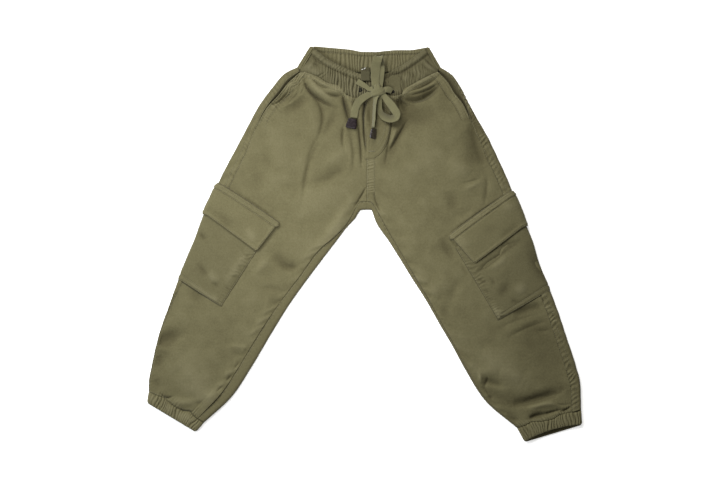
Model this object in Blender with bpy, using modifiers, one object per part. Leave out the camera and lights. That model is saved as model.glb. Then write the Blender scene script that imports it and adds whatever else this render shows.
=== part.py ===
"""A child's cargo joggers, laid flat with the front up.

Frame: +X towards the wearer's left, +Y towards the waist, +Z up, the floor at z = 0.
Right and left are the wearer's. Tables and sizes are in millimetres.
"""
from collections import namedtuple

import bmesh
import bpy
import numpy as np
from mathutils import Matrix, Vector

MM = 0.001                 # metres in a millimetre
COLLECTION = "cargo_joggers"

# ---------------------------------------------------------------- driving sizes
TWILL = 1.2                # one layer of the cloth
BAND_WALL = 2.8            # folded twill round its elastic
CUFF_WALL = 2.7
POCKET_WALL = 1.2
FLAP_WALL = 1.8            # two layers, turned
FLY_WALL = 1.0
SEAM_GAP = 0.6             # between the outer edges of two pieces at a seam
LAYER_GAP = 0.5            # between a piece and what it lies on
FOLD_RADIUS = 4.6          # of the side and inner folds
LOFT_REACH = 26.0          # how far in from a fold the cloth rises to its full height
ROWS_A_STATION = 1.5       # rows of the leg grids for each station of the tables
FRONT_COLUMNS = 14
BACK_COLUMNS = 4           # across the floor, between the curbs of the folds
CURB_ANGLES = (40, 10, -22, -55, -90)    # round a fold, in degrees from its outermost line
CROTCH = 7                 # the station where the legs part

# Height of the laid garment over the floor, down its length.
Loft = namedtuple("Loft", "y height")
LOFTS = (Loft(-345, 9.4), Loft(-275, 9.6), Loft(-200, 11.6), Loft(-60, 13.0),
         Loft(80, 14.0), Loft(180, 15.0), Loft(345, 14.0))

# Each leg from the waist seam (station 0) to the cuff seam (station 20):
# front = inner edge of the front, back = centre back down to the crotch and then the
# inner fold, side = the side fold, strip = how far the back shows inside the side fold,
# mouth = where the front ends (inside the strip along the slant pocket).
Station = namedtuple("Station", "front_x front_y back_x back_y side_x side_y strip mouth")
RIGHT_LEG = (
    Station(8.5, 255.0, 9.3, 291.6, -113.9, 300.9, 8.5, 12.0),
    Station(6.3, 233.8, 7.5, 260.0, -136.8, 289.0, 11.0, 18.5),
    Station(5.1, 209.9, 6.2, 228.0, -158.1, 264.3, 11.9, 23.8),
    Station(4.4, 182.8, 5.3, 196.0, -179.3, 235.4, 11.9, 20.4),
    Station(4.2, 155.5, 4.7, 163.0, -198.9, 199.8, 14.4, 14.4),
    Station(4.2, 128.3, 4.4, 130.0, -216.8, 165.8, 18.7, 18.7),
    Station(4.2, 101.1, 4.2, 96.0, -233.8, 134.3, 20.4, 20.4),
    Station(4.2, 71.7, 4.2, 57.3, -249.0, 103.7, 21.2, 21.2),
    Station(-3.7, 72.2, -5.1, 56.9, -255.0, 89.2, 21.2, 21.2),
    Station(-9.7, 68.5, -10.0, 52.2, -260.9, 75.6, 21.2, 21.2),
    Station(-17.8, 54.4, -15.1, 43.4, -267.8, 62.0, 20.4, 20.4),
    Station(-25.8, 39.9, -23.8, 34.0, -273.7, 47.6, 20.4, 20.4),
    Station(-34.9, 27.2, -32.3, 24.6, -279.6, 30.6, 20.4, 20.4),
    Station(-52.3, 10.6, -46.2, 6.0, -288.1, 6.8, 19.6, 19.6),
    Station(-78.6, -12.5, -67.1, -21.2, -299.2, -18.7, 18.7, 18.7),
    Station(-108.8, -54.0, -97.8, -62.0, -316.2, -58.6, 10.2, 10.2),
    Station(-142.0, -97.8, -129.2, -106.2, -334.9, -109.6, 4.4, 4.4),
    Station(-176.0, -148.0, -160.7, -157.2, -352.8, -164.0, 3.0, 3.0),
    Station(-208.7, -201.8, -192.9, -211.7, -362.9, -209.9, 3.0, 3.0),
    Station(-238.7, -248.4, -225.2, -260.1, -367.5, -237.2, 3.0, 3.0),
    Station(-276.4, -282.1, -265.2, -294.9, -367.4, -251.6, 3.0, 3.0),
)
LEFT_LEG = (
    Station(8.5, 255.0, 9.3, 291.6, 129.2, 300.1, 5.1, 9.5),
    Station(6.3, 233.8, 7.5, 260.0, 148.8, 287.3, 4.2, 14.4),
    Station(5.1, 209.9, 6.2, 228.0, 164.9, 264.3, 4.2, 15.3),
    Station(4.4, 182.8, 5.3, 196.0, 177.7, 238.8, 5.1, 10.2),
    Station(4.2, 155.5, 4.7, 163.0, 192.9, 211.7, 11.9, 11.9),
    Station(4.2, 128.3, 4.4, 130.0, 209.9, 181.9, 15.3, 15.3),
    Station(4.2, 101.1, 4.2, 96.0, 226.9, 146.2, 17.0, 17.0),
    Station(4.2, 71.7, 4.2, 57.3, 242.2, 113.0, 17.0, 17.0),
    Station(10.2, 71.2, 11.4, 56.9, 248.5, 97.8, 17.0, 17.0),
    Station(17.2, 63.8, 14.8, 49.3, 254.2, 81.9, 17.0, 17.0),
    Station(26.3, 47.6, 18.9, 37.4, 260.1, 67.5, 17.0, 17.0),
    Station(36.5, 28.9, 28.1, 22.1, 266.9, 51.3, 17.0, 17.0),
    Station(48.4, 8.5, 39.9, 6.0, 273.7, 32.6, 17.8, 17.8),
    Station(66.6, -22.4, 60.4, -26.3, 284.8, 3.9, 17.8, 17.8),
    Station(87.7, -58.7, 82.5, -62.0, 297.5, -32.6, 17.8, 17.8),
    Station(109.8, -95.2, 105.4, -97.8, 312.8, -71.2, 18.7, 18.7),
    Station(131.3, -134.6, 127.5, -136.8, 328.9, -113.0, 18.7, 18.7),
    Station(153.2, -172.2, 149.6, -174.2, 344.2, -158.9, 18.7, 18.7),
    Station(174.9, -213.1, 171.7, -215.0, 359.6, -205.7, 18.7, 18.7),
    Station(207.6, -264.4, 204.8, -266.9, 368.1, -242.2, 17.8, 17.8),
    Station(262.5, -311.7, 260.1, -314.5, 369.2, -283.1, 17.0, 17.0),
)
WAIST_BOW = 10.0           # how far the waist seam hangs below a straight line
BOW_ENDS = 3.0             # the station where the rows are straight again

# Top edges of the waistband's front run and back run.
Waist = namedtuple("Waist", "x front_y back_y")
WAIST = (
    Waist(-91.0, 337.4, 337.4), Waist(-79.0, 324.7, 336.2), Waist(-65.5, 313.6, 334.8),
    Waist(-46.8, 303.4, 333.2), Waist(-24.6, 293.2, 331.0), Waist(-4.2, 286.4, 327.4),
    Waist(17.8, 284.8, 327.0), Waist(36.5, 287.3, 328.8), Waist(55.2, 296.6, 330.2),
    Waist(75.6, 309.4, 330.2), Waist(94.3, 323.0, 332.6), Waist(108.0, 336.1, 336.1),
)
FRONT_GATHERS = 27
BACK_GATHERS = 26
STATIONS_A_GATHER = 4
GATHER_DEPTH = 0.7

# Cuff hems, and the widest the cuffs' folds reach.
Cuff = namedtuple("Cuff", "inner_x inner_y outer_x outer_y")
RIGHT_CUFF = Cuff(-286.4, -320.4, -370.4, -270.0)
LEFT_CUFF = Cuff(272.8, -338.3, 371.1, -308.6)
CUFF_RADIUS = 4.75
CUFF_GATHERS = 13          # on each face
CUFF_STATIONS_A_GATHER = 3
CUFF_DEPTH = 0.7

# Main folds of the fronts: soft troughs (depth > 0) and ridges (depth < 0).
Crease = namedtuple("Crease", "x0 y0 x1 y1 width depth")
CREASES = (
    Crease(-103, 272, -49, 231, 8, 2.0),
    Crease(-86, 249, -74, 213, 11, 2.0),
    Crease(-74, 213, -105, 74, 13, 2.0),
    Crease(66, 243, 124, 260, 9, 3.0),
    Crease(68, 258, 118, 272, 8, -1.5),
    Crease(74, 200, 58, 150, 9, 1.6),
    Crease(58, 150, 38, 110, 12, 1.6),
    Crease(-135, -31, -112, -48, 14, 1.8),
    Crease(-342, -120, -318, -176, 12, 1.6),
    Crease(205, -164, 298, -130, 13, 1.6),
    Crease(250, -262, 328, -246, 9, 2.0),
    Crease(137, -10, 158, -76, 18, 1.8),
)

# A cargo pocket hangs between its inner edge and the side fold, which it wraps round:
# start and end are stations on the side fold, and the inner edge runs between two points.
Patch = namedtuple("Patch", "start end top_x top_y foot_x foot_y")
RIGHT_POCKET = Patch(8.2, 15.1, -155.5, 29.0, -243.1, -108.0)
LEFT_POCKET = Patch(9.5, 15.2, 154.0, -8.0, 225.2, -129.2)
RIGHT_FLAP = Patch(7.0, 10.9, -144.0, 35.7, -182.8, -14.4)
LEFT_FLAP = Patch(8.5, 12.1, 143.1, 14.4, 184.0, -32.5)
POCKET_PUFF = 3.2
POCKET_WRAP = -40.0        # degrees below the fold's outermost line
FLAP_WRAP = -24.0

MOUTH_STATION = 3.8        # where the slant pocket's mouth ends
MOUTH_UNDERLAP = 12.0
MOUTH_DROP = 1.2           # of the facing below the mouth
MOUTH_LIFT = 1.7           # of the front's edge over it
MOUTH_SOFTNESS = 9.0       # how far in from the edge the lift fades

FLY_RIGHT = 45.5           # the placket's straight edge
FLY_LEFT = 6.6
FLY_BEND_Y = 200.0         # where its J begins
FLY_FOOT_Y = 156.0

TAPE_WALL = 1.2            # of the flat drawcord
# A stretch of the tape: lift over the cloth, the way its width points, its tilt, its width.
Tape = namedtuple("Tape", "x y lift across tilt width")
TAPES = {
    "drawcord_lead_right": (Tape(-11, 270, 1.9, 50, 0, 11), Tape(-4, 264, 2.8, 60, 0, 11),
                            Tape(3, 260.5, 3.8, 70, 0, 10), Tape(8.6, 259, 4.6, 85, 0, 9)),
    "drawcord_lead_left": (Tape(53, 254, 2.0, 60, 0, 10), Tape(46, 258, 3.2, 75, 0, 10),
                           Tape(37.2, 258.5, 4.6, 90, 0, 9)),
    "drawcord_loop_up": (Tape(19, 269, 7.4, 0, 0, 10), Tape(18.7, 285, 7.2, 0, 0, 13),
                         Tape(19, 300, 7.2, 0, 0, 15), Tape(20, 311, 6.8, 0, 0, 14),
                         Tape(22.5, 315.6, 5.0, 0, 0, 13), Tape(25.5, 311, 3.2, 0, 0, 12),
                         Tape(27.5, 300, 2.8, 0, 0, 12), Tape(28, 285, 2.8, 0, 0, 12),
                         Tape(26.5, 270, 3.0, 0, 0, 10)),
    "drawcord_loop_side": (Tape(35.5, 246, 4.2, 42, 0, 9), Tape(46, 233.5, 4.6, 40, 0, 11),
                           Tape(56, 221, 5.0, 38, 5, 12), Tape(60.5, 214, 5.0, 60, 28, 11),
                           Tape(56.5, 208.5, 4.8, 100, 30, 10), Tape(48, 208, 4.6, 105, 18, 10),
                           Tape(39, 212, 4.0, 115, 8, 10), Tape(31, 217, 3.6, 120, 0, 9)),
    "drawcord_tail_right": (Tape(8.2, 251.4, 2.4, 125, 0, 9), Tape(-2, 247.0, 2.2, 130, 0, 11),
                            Tape(-11, 239.5, 2.0, 150, 0, 12), Tape(-17.5, 228, 1.8, 165, 0, 12),
                            Tape(-21, 213.6, 1.8, 172, 0, 12)),
    "drawcord_tail_left": (Tape(23.4, 247.8, 4.6, 0, 0, 11), Tape(22.4, 232, 3.8, 0, 5, 12),
                           Tape(19.6, 215, 6.0, 0, 25, 12), Tape(16.4, 197.4, 9.2, 0, 50, 12)),
}
Tip = namedtuple("Tip", "x y lift turn tilt")
TIPS = {
    "cord_tip_right": Tip(-22.7, 204.4, 2.6, -9, 0),
    "cord_tip_left": Tip(14.4, 186.4, 10.2, -10, 50),
}
TIP_SIZE = (18.0, 18.0, 3.4)
KNOT_CENTRE = (23.0, 258.4)
KNOT_LIFT = 5.8
KNOT_RADII = (12.6, 9.0, 4.2)

# A blank tab sewn inside the back waistband.
TAB_CENTRE = (1.5, 288.0)
TAB_SIZE = (15.0, 24.0, 0.8)

# Colours, as linear values: the cloth, the paler tape, the tips and the tab.
CLOTH = (0.205, 0.188, 0.108)
CLOTH_SHADE = (0.170, 0.155, 0.090)
TAPE_COLOUR = (0.260, 0.245, 0.130)
TIP_COLOUR = (0.030, 0.022, 0.030)
TAB_COLOUR = (0.120, 0.110, 0.080)


# ---------------------------------------------------------------- curves and distances
def smooth(knots, values, at):
    """Monotone cubic through (knots, values): it passes every value and never overshoots."""
    knots = np.asarray(knots, float)
    values = np.asarray(values, float)
    step = np.diff(knots)
    slope = np.diff(values) / step
    tangent = np.zeros(len(knots))
    same = slope[:-1] * slope[1:] > 0
    tangent[1:-1][same] = 2 * (slope[:-1] * slope[1:])[same] / (slope[:-1] + slope[1:])[same]
    tangent[0], tangent[-1] = slope[0], slope[-1]
    at = np.clip(np.asarray(at, float), knots[0], knots[-1])
    i = np.clip(np.searchsorted(knots, at, side="right") - 1, 0, len(step) - 1)
    u = (at - knots[i]) / step[i]
    return ((1 + 2 * u) * (1 - u) ** 2 * values[i] + u * (1 - u) ** 2 * step[i] * tangent[i]
            + u * u * (3 - 2 * u) * values[i + 1] - u * u * (1 - u) * step[i] * tangent[i + 1])


def column(rows, name, at):
    """One named column of a table, smoothed over its stations.

    The inner edges turn a corner at the crotch, so they are smoothed above and below it.
    """
    at = np.asarray(at, float)
    values = [getattr(row, name) for row in rows]
    if not name.startswith(("front", "back")):
        return smooth(range(len(rows)), values, at)
    above = smooth(range(CROTCH + 1), values[:CROTCH + 1], at)
    below = smooth(range(CROTCH, len(rows)), values[CROTCH:], at)
    return np.where(at < CROTCH, above, below)


def path(rows, name, at):
    """The smoothed x and y columns of one edge."""
    return np.stack([column(rows, name + "_x", at), column(rows, name + "_y", at)], axis=-1)


def inward(rows, name, at, towards):
    """Unit normals of an edge, on the side of the given points."""
    at = np.asarray(at, float)
    low = CROTCH if name == "back" else 0
    at = np.maximum(at, low)
    before = path(rows, name, np.clip(at - 0.1, low, len(rows) - 1))
    after = path(rows, name, np.clip(at + 0.1, low, len(rows) - 1))
    along = after - before
    normal = np.stack([-along[..., 1], along[..., 0]], axis=-1)
    normal /= np.linalg.norm(normal, axis=-1, keepdims=True)
    side = np.sign(np.sum(normal * (towards - path(rows, name, at)), axis=-1, keepdims=True))
    return normal * side


def distance(points, line):
    """Distance from each point to a polyline."""
    points = np.asarray(points, float)
    flat = points.reshape(-1, 1, 2)
    start, run = line[:-1], np.diff(line, axis=0)
    share = np.sum((flat - start) * run, axis=-1) / np.sum(run * run, axis=-1)
    nearest = start + np.clip(share, 0, 1)[..., None] * run
    return np.linalg.norm(flat - nearest, axis=-1).min(axis=1).reshape(points.shape[:-1])


def side_line(rows, cuff, corner):
    """The whole side fold: waist corner, stations, cuff hem."""
    stations = path(rows, "side", np.linspace(0, len(rows) - 1, 81))
    return np.vstack([[corner], stations, [(cuff.outer_x, cuff.outer_y)]])


def inner_line():
    """The inner folds of both legs, through the crotch."""
    at = np.linspace(len(RIGHT_LEG) - 1, CROTCH, 61)
    right, left = path(RIGHT_LEG, "back", at), path(LEFT_LEG, "back", at)
    return np.vstack([[(RIGHT_CUFF.inner_x, RIGHT_CUFF.inner_y)], right,
                      left[::-1][1:], [(LEFT_CUFF.inner_x, LEFT_CUFF.inner_y)]])


RIGHT_CORNER = np.array([WAIST[0].x, WAIST[0].back_y])
LEFT_CORNER = np.array([WAIST[-1].x, WAIST[-1].back_y])
RIGHT_SIDE = side_line(RIGHT_LEG, RIGHT_CUFF, RIGHT_CORNER)
LEFT_SIDE = side_line(LEFT_LEG, LEFT_CUFF, LEFT_CORNER)
INNER_FOLD = inner_line()


# ---------------------------------------------------------------- the laid form
def rolled(inset):
    """Height of the fold's quarter round, this far inside its outermost line."""
    left_over = FOLD_RADIUS - np.clip(inset, 0, FOLD_RADIUS)
    return FOLD_RADIUS + np.sqrt(FOLD_RADIUS ** 2 - left_over ** 2)


def rise(inset):
    """0 at a fold, 1 well inside it."""
    return 1 - np.exp(-np.clip(inset - FOLD_RADIUS, 0, None) / LOFT_REACH)


def creased(points):
    """How far the main folds lower each point."""
    lowered = np.zeros(points.shape[:-1])
    for crease in CREASES:
        line = np.array([[crease.x0, crease.y0], [crease.x1, crease.y1]], float)
        lowered += crease.depth * np.exp(-(distance(points, line) / crease.width) ** 2)
    return lowered


def height(points):
    """Top of the laid cloth over each (x, y) point."""
    points = np.asarray(points, float)
    outer = np.minimum(distance(points, RIGHT_SIDE), distance(points, LEFT_SIDE))
    inner = distance(points, INNER_FOLD)
    full = smooth([loft.y for loft in LOFTS], [loft.height for loft in LOFTS], points[..., 1])
    within = rise(outer) * rise(inner)
    return (rolled(np.minimum(outer, inner)) + (full - 2 * FOLD_RADIUS) * within
            - creased(points) * within)


def on_cloth(points, lift=0.0):
    """The (x, y) points set on the laid cloth, moved up by lift."""
    points = np.asarray(points, float)
    return np.concatenate([points, (height(points) + lift)[..., None]], axis=-1)


def eased(count, crowding):
    """0 to 1 in steps that are shorter at both ends."""
    u = np.linspace(0, 1, count)
    return u - crowding * np.sin(2 * np.pi * u) / (2 * np.pi)


# ---------------------------------------------------------------- making objects
def material(name, colour, roughness=0.9, metallic=0.0):
    made = bpy.data.materials.new(name)
    made.use_nodes = True
    shader = made.node_tree.nodes["Principled BSDF"]
    shader.inputs["Base Color"].default_value = (*colour, 1)
    shader.inputs["Roughness"].default_value = roughness
    shader.inputs["Metallic"].default_value = metallic
    return made


def new_object(name, bm, colour, roughness=0.9):
    mesh = bpy.data.meshes.new(name)
    bm.to_mesh(mesh)
    bm.free()
    made = bpy.data.objects.new(name, mesh)
    made.data.materials.append(material(name, colour, roughness))
    bpy.data.collections[COLLECTION].objects.link(made)
    return made


def laid_grid(points):
    """A bmesh grid whose vertices stand at a rows x columns array of points."""
    rows, columns = points.shape[:2]
    bm = bmesh.new()
    bmesh.ops.create_grid(bm, x_segments=columns - 1, y_segments=rows - 1, size=1.0)
    for vert, point in zip(bm.verts, points.reshape(-1, 3)):
        vert.co = Vector(point * MM)
    return bm


def shell(name, points, wall, colour, facing=1):
    """An open sheet with Solidify inwards; rows of points that are not numbers are cut away."""
    bm = laid_grid(points)
    missing = [vert for vert, point in zip(bm.verts, points.reshape(-1, 3)) if np.isnan(point[0])]
    bmesh.ops.delete(bm, geom=missing, context="VERTS")
    bm.normal_update()
    if facing * sum(face.normal.z * face.calc_area() for face in bm.faces) < 0:
        bmesh.ops.reverse_faces(bm, faces=bm.faces)
    made = new_object(name, bm, colour)
    solidify = made.modifiers.new("wall", "SOLIDIFY")
    solidify.thickness = wall * MM
    solidify.offset = -1
    return made


def loft(name, sections, colour, ring=False, roughness=0.9):
    """A closed body through closed sections, capped at its ends unless it is a ring."""
    sections = np.concatenate([sections, sections[:, :1]], axis=1)
    if ring:
        sections = np.concatenate([sections, sections[:1]], axis=0)
    bm = laid_grid(sections)
    bmesh.ops.remove_doubles(bm, verts=bm.verts, dist=1e-6)
    if not ring:
        bmesh.ops.holes_fill(bm, edges=bm.edges, sides=0)
    bmesh.ops.recalc_face_normals(bm, faces=bm.faces)
    return new_object(name, bm, colour, roughness)


# ---------------------------------------------------------------- legs
def leg_rows():
    count = int((len(RIGHT_LEG) - 1) * ROWS_A_STATION) + 1
    return np.linspace(0, len(RIGHT_LEG) - 1, count)


def front_edges(rows, at, inset_name, trim):
    """Inner edge and outer edge of a front at the stations, each trimmed back."""
    inner = path(rows, "front", at)
    side = path(rows, "side", at)
    normal = inward(rows, "side", at, inner)
    outer = side + normal * (column(rows, inset_name, at) + trim)[..., None]
    inner_trim = outer - inner
    inner_trim /= np.linalg.norm(inner_trim, axis=-1, keepdims=True)
    return inner + inner_trim * SEAM_GAP / 2, outer


def bow(at, across):
    """How far the rows near the waist hang below straight lines."""
    fade = np.clip(1 - np.asarray(at) / BOW_ENDS, 0, 1) ** 1.5
    return WAIST_BOW * fade * np.sin(np.pi * across)


def front_points(rows, at, across):
    """Points of a front in plan: across runs from the inner edge to the outer edge."""
    inner, outer = front_edges(rows, at, "mouth", SEAM_GAP / 2)
    points = inner[:, None] + (outer - inner)[:, None] * across[None, :, None]
    points[..., 1] -= bow(at[:, None], across[None, :])
    return points


def front(name, rows):
    at = leg_rows()
    across = eased(FRONT_COLUMNS, 0.75)
    points = on_cloth(front_points(rows, at, across))
    mouth_line = front_edges(rows, at, "mouth", 0)[1]
    edge = distance(points[..., :2], mouth_line)
    points[..., 2] += mouth_lift(at)[:, None] * np.exp(-edge / MOUTH_SOFTNESS)
    return shell(name, points, TWILL, CLOTH)


def mouth_lift(at):
    """How far the slant pocket's edge stands up, from the waist seam to the mouth's end."""
    opened = np.clip(1 - at / MOUTH_STATION, 0, 1)
    return MOUTH_LIFT * (np.sin(np.pi * opened ** 0.8) ** 0.6 + 0.3 * opened)


def curb(line, normal, seam):
    """Sections of a strip that rises from the floor, round the fold, to its seam on top."""
    width = np.linalg.norm(seam - line, axis=-1)
    first = FOLD_RADIUS * (1 - np.cos(np.radians(CURB_ANGLES[0])))
    insets = [width,
              np.minimum(first + (width - first) * 0.55, 2.2 * FOLD_RADIUS),
              np.minimum(first + (width - first) * 0.28, 0.75 * FOLD_RADIUS)]
    sections = []
    for inset in insets:
        share = np.clip((inset - FOLD_RADIUS) / np.maximum(width - FOLD_RADIUS, 0.1), 0, 1)
        base = line + normal * np.minimum(inset, FOLD_RADIUS)[..., None]
        sections.append(on_cloth(base + (seam - base) * share[..., None]))
    for angle in np.radians(CURB_ANGLES):
        plan = line + normal * FOLD_RADIUS * (1 - np.cos(angle))
        level = np.full(len(line), FOLD_RADIUS * (1 + np.sin(angle)))
        sections.append(np.concatenate([plan, level[:, None]], axis=-1))
    return np.stack(sections, axis=1)


def back(name, rows):
    at = leg_rows()
    front_edge = path(rows, "front", at)
    side, inner = path(rows, "side", at), path(rows, "back", at)
    side_normal = inward(rows, "side", at, front_edge)
    seam = side + side_normal * (column(rows, "strip", at) - SEAM_GAP / 2)[..., None]
    outer_curb = curb(side, side_normal, seam)
    parted = at >= CROTCH
    inner_normal = inward(rows, "back", at, front_edge)
    out = inner - front_edge
    out /= np.linalg.norm(out, axis=-1, keepdims=True)
    inner_curb = curb(inner, inner_normal, front_edge + out * SEAM_GAP / 2)
    sign = np.sign(side[0, 0])
    centre = inner + np.array([sign * SEAM_GAP / 2, 0])
    inner_curb[~parted] = np.nan
    inner_curb[~parted, -1, :2] = centre[~parted]
    inner_curb[~parted, -1, 2] = 0
    inner_curb[at == CROTCH, :, 0] += sign * SEAM_GAP / 2
    across = np.linspace(0, 1, BACK_COLUMNS + 2)[1:-1]
    start, end = inner_curb[:, -1:], outer_curb[:, -1:]
    floor = start + (end - start) * across[None, :, None]
    points = np.concatenate([inner_curb, floor, outer_curb[:, ::-1]], axis=1)
    return shell(name, points, TWILL, CLOTH_SHADE, facing=-1)


def hip_facing(name, rows):
    """The layer seen in the slant pocket's mouth; it dips under the front."""
    at = np.linspace(0.12, MOUTH_STATION - 0.25, 6)
    inner = path(rows, "front", at)
    side = path(rows, "side", at)
    normal = inward(rows, "side", at, inner)
    start = column(rows, "strip", at) + SEAM_GAP
    end = column(rows, "mouth", at)
    insets = np.stack([start, start + 0.5 * (end - start), end,
                       end + 0.5 * MOUTH_UNDERLAP, end + MOUTH_UNDERLAP], axis=1)
    drops = np.array([0.0, 0.7, 1.0, 1.5, 1.5]) * MOUTH_DROP
    points = on_cloth(side[:, None] + normal[:, None] * insets[..., None])
    points[..., 2] -= drops[None, :]
    return shell(name, points, TWILL, CLOTH_SHADE)


# ---------------------------------------------------------------- waistband
def waist_seam():
    """The plan line of the fronts' top edges, from the right side seam to the left one."""
    at = np.array([0.0])
    across = eased(15, 0.2)
    right = front_points(RIGHT_LEG, at, across)[0][::-1]
    left = front_points(LEFT_LEG, at, across)[0]
    return np.vstack([strip_edge(RIGHT_LEG), right, left, strip_edge(LEFT_LEG)])


def strip_edge(rows):
    """Where a back's strip meets the waistband at the top of the leg."""
    at = np.array([0.0])
    return front_edges(rows, at, "strip", SEAM_GAP / 2)[1]


def gathers(share, count):
    """Uneven gather waves along an elastic."""
    drift = 0.3 * np.sin(2 * np.pi * 3.1 * share) + 0.15 * np.sin(2 * np.pi * 7.3 * share + 1)
    return np.sin(2 * np.pi * (count * share + drift))


def waist_table(name, x):
    return smooth([row.x for row in WAIST], [getattr(row, name) for row in WAIST], x)


def band_section(low, top, outer_wave, depth):
    """A closed section of the front run between its low point and its top point."""
    rises = np.array([0.0, 0.4, 0.8, 1.0])
    swell = np.array([0.4, 1.0, 1.0, 0.3])
    plan = low + (top - low) * rises[:, None]
    outer = on_cloth(plan, outer_wave * swell * depth)
    outer[-1, 2] -= 0.5
    inner = on_cloth(plan[[3, 0]], -BAND_WALL)
    return np.vstack([outer, inner])


def fold_frame(rows, corner):
    """Low point, top point and inward direction of the waistband's side fold."""
    low = np.array([rows[0].side_x, rows[0].side_y])
    along = (corner - low) / np.linalg.norm(corner - low)
    normal = np.array([along[1], -along[0]]) * -np.sign(low[0])
    return low + along * SEAM_GAP, corner, normal


def waistband_front():
    seam = waist_seam()
    low_right, top_right, normal_right = fold_frame(RIGHT_LEG, RIGHT_CORNER)
    low_left, top_left, normal_left = fold_frame(LEFT_LEG, LEFT_CORNER)
    low_ends = (seam[0, 0] + SEAM_GAP, seam[-1, 0] - SEAM_GAP)
    top_ends = ((top_right + normal_right * 6.6)[0], (top_left + normal_left * 5.6)[0])
    sections = []
    for share in np.linspace(0, 1, FRONT_GATHERS * STATIONS_A_GATHER + 1):
        low_x = low_ends[0] + share * (low_ends[1] - low_ends[0])
        top_x = top_ends[0] + share * (top_ends[1] - top_ends[0])
        low = np.array([low_x, np.interp(low_x, seam[:, 0], seam[:, 1]) + SEAM_GAP])
        top = np.array([top_x, waist_table("front_y", top_x)])
        fade = min(1.0, 8 * share, 8 * (1 - share))
        sections.append(band_section(low, top, gathers(share, FRONT_GATHERS), GATHER_DEPTH * fade))
    return loft("waistband_front", np.array(sections), CLOTH)


def side_run(rows, corner, low_width, top_width):
    """Sections of the back run from its seam on top, round the side fold, to the floor."""
    low, top, normal = fold_frame(rows, corner)
    sections = []
    for share in (1.0, 0.7):
        lows, tops = low + normal * low_width * share, top + normal * top_width * share
        outer = on_cloth(np.array([lows, tops]))
        sections.append(np.vstack([outer, outer[::-1] - [0, 0, BAND_WALL]]))
    for angle in np.radians([55, 20, -20, -55, -90]):
        ring = []
        for radius in (FOLD_RADIUS, FOLD_RADIUS - BAND_WALL):
            inset = FOLD_RADIUS - radius * np.cos(angle)
            level = FOLD_RADIUS + radius * np.sin(angle)
            pair = [(*(low + normal * inset), level), (*(top + normal * inset), level)]
            ring += pair if radius == FOLD_RADIUS else pair[::-1]
        sections.append(np.array(ring))
    return sections


def waistband_back():
    right = side_run(RIGHT_LEG, RIGHT_CORNER, 7.9, 6.0)
    left = side_run(LEFT_LEG, LEFT_CORNER, 4.5, 4.8)
    middle = np.array([RIGHT_LEG[0].back_x, RIGHT_LEG[0].back_y + SEAM_GAP])
    floor = []
    for share in np.linspace(0, 1, BACK_GATHERS * STATIONS_A_GATHER + 1)[1:-1]:
        if share < 0.5:
            low = right[-1][0, :2] + (middle - right[-1][0, :2]) * 2 * share
        else:
            low = middle + (left[-1][0, :2] - middle) * (2 * share - 1)
        top_x = right[-1][1, 0] + share * (left[-1][1, 0] - right[-1][1, 0])
        top = np.array([top_x, waist_table("back_y", top_x)])
        fade = min(1.0, 8 * share, 8 * (1 - share))
        inner = BAND_WALL - 0.1 + GATHER_DEPTH * fade * gathers(share, BACK_GATHERS)
        floor.append(np.array([(*low, 0), (*top, 0), (*top, inner - 0.3 * fade), (*low, inner)]))
    return loft("waistband_back", np.array(right + floor + left[::-1]), CLOTH)


def waist_tab():
    bm = bmesh.new()
    bmesh.ops.create_cube(bm, size=1.0)
    bmesh.ops.scale(bm, verts=bm.verts, vec=Vector(TAB_SIZE) * MM)
    made = new_object("waist_tab", bm, TAB_COLOUR, 0.7)
    made.location = Vector((*TAB_CENTRE, BAND_WALL + GATHER_DEPTH + LAYER_GAP + TAB_SIZE[2] / 2)) * MM
    return made


# ---------------------------------------------------------------- cuffs
def cuff(name, rows, hem):
    """A gathered ring from the leg's end to the hem, flattened to two faces."""
    last = rows[-1]
    inner_top = np.array([last.back_x, last.back_y])
    outer_top = np.array([last.side_x, last.side_y])
    inner_hem = np.array([hem.inner_x, hem.inner_y])
    outer_hem = np.array([hem.outer_x, hem.outer_y])
    down = (inner_hem - inner_top) / np.linalg.norm(inner_hem - inner_top)
    inner_top = inner_top + down * SEAM_GAP
    outer_top = outer_top + down * SEAM_GAP
    count = 2 * CUFF_GATHERS * CUFF_STATIONS_A_GATHER
    sections = []
    for station in range(count):
        turn = 2 * station / count
        upper = turn < 1
        share = turn if upper else 2 - turn
        section = []
        wave = gathers(share, CUFF_GATHERS) * min(1.0, 9 * share, 9 * (1 - share)) * upper
        for reach, swell in ((0.0, 0.2), (0.35, 1.0), (0.75, 1.0), (1.0, 0.4)):
            ends = inner_top + (inner_hem - inner_top) * reach, outer_top + (outer_hem - outer_top) * reach
            section.append(ring_point(ends, share, upper, CUFF_RADIUS, wave * swell * CUFF_DEPTH))
        for reach in (1.0, 0.0):
            ends = inner_top + (inner_hem - inner_top) * reach, outer_top + (outer_hem - outer_top) * reach
            section.append(ring_point(ends, share, upper, CUFF_RADIUS - CUFF_WALL, 0.0))
        sections.append(section)
    return loft(name, np.array(sections), CLOTH, ring=True)


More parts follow.
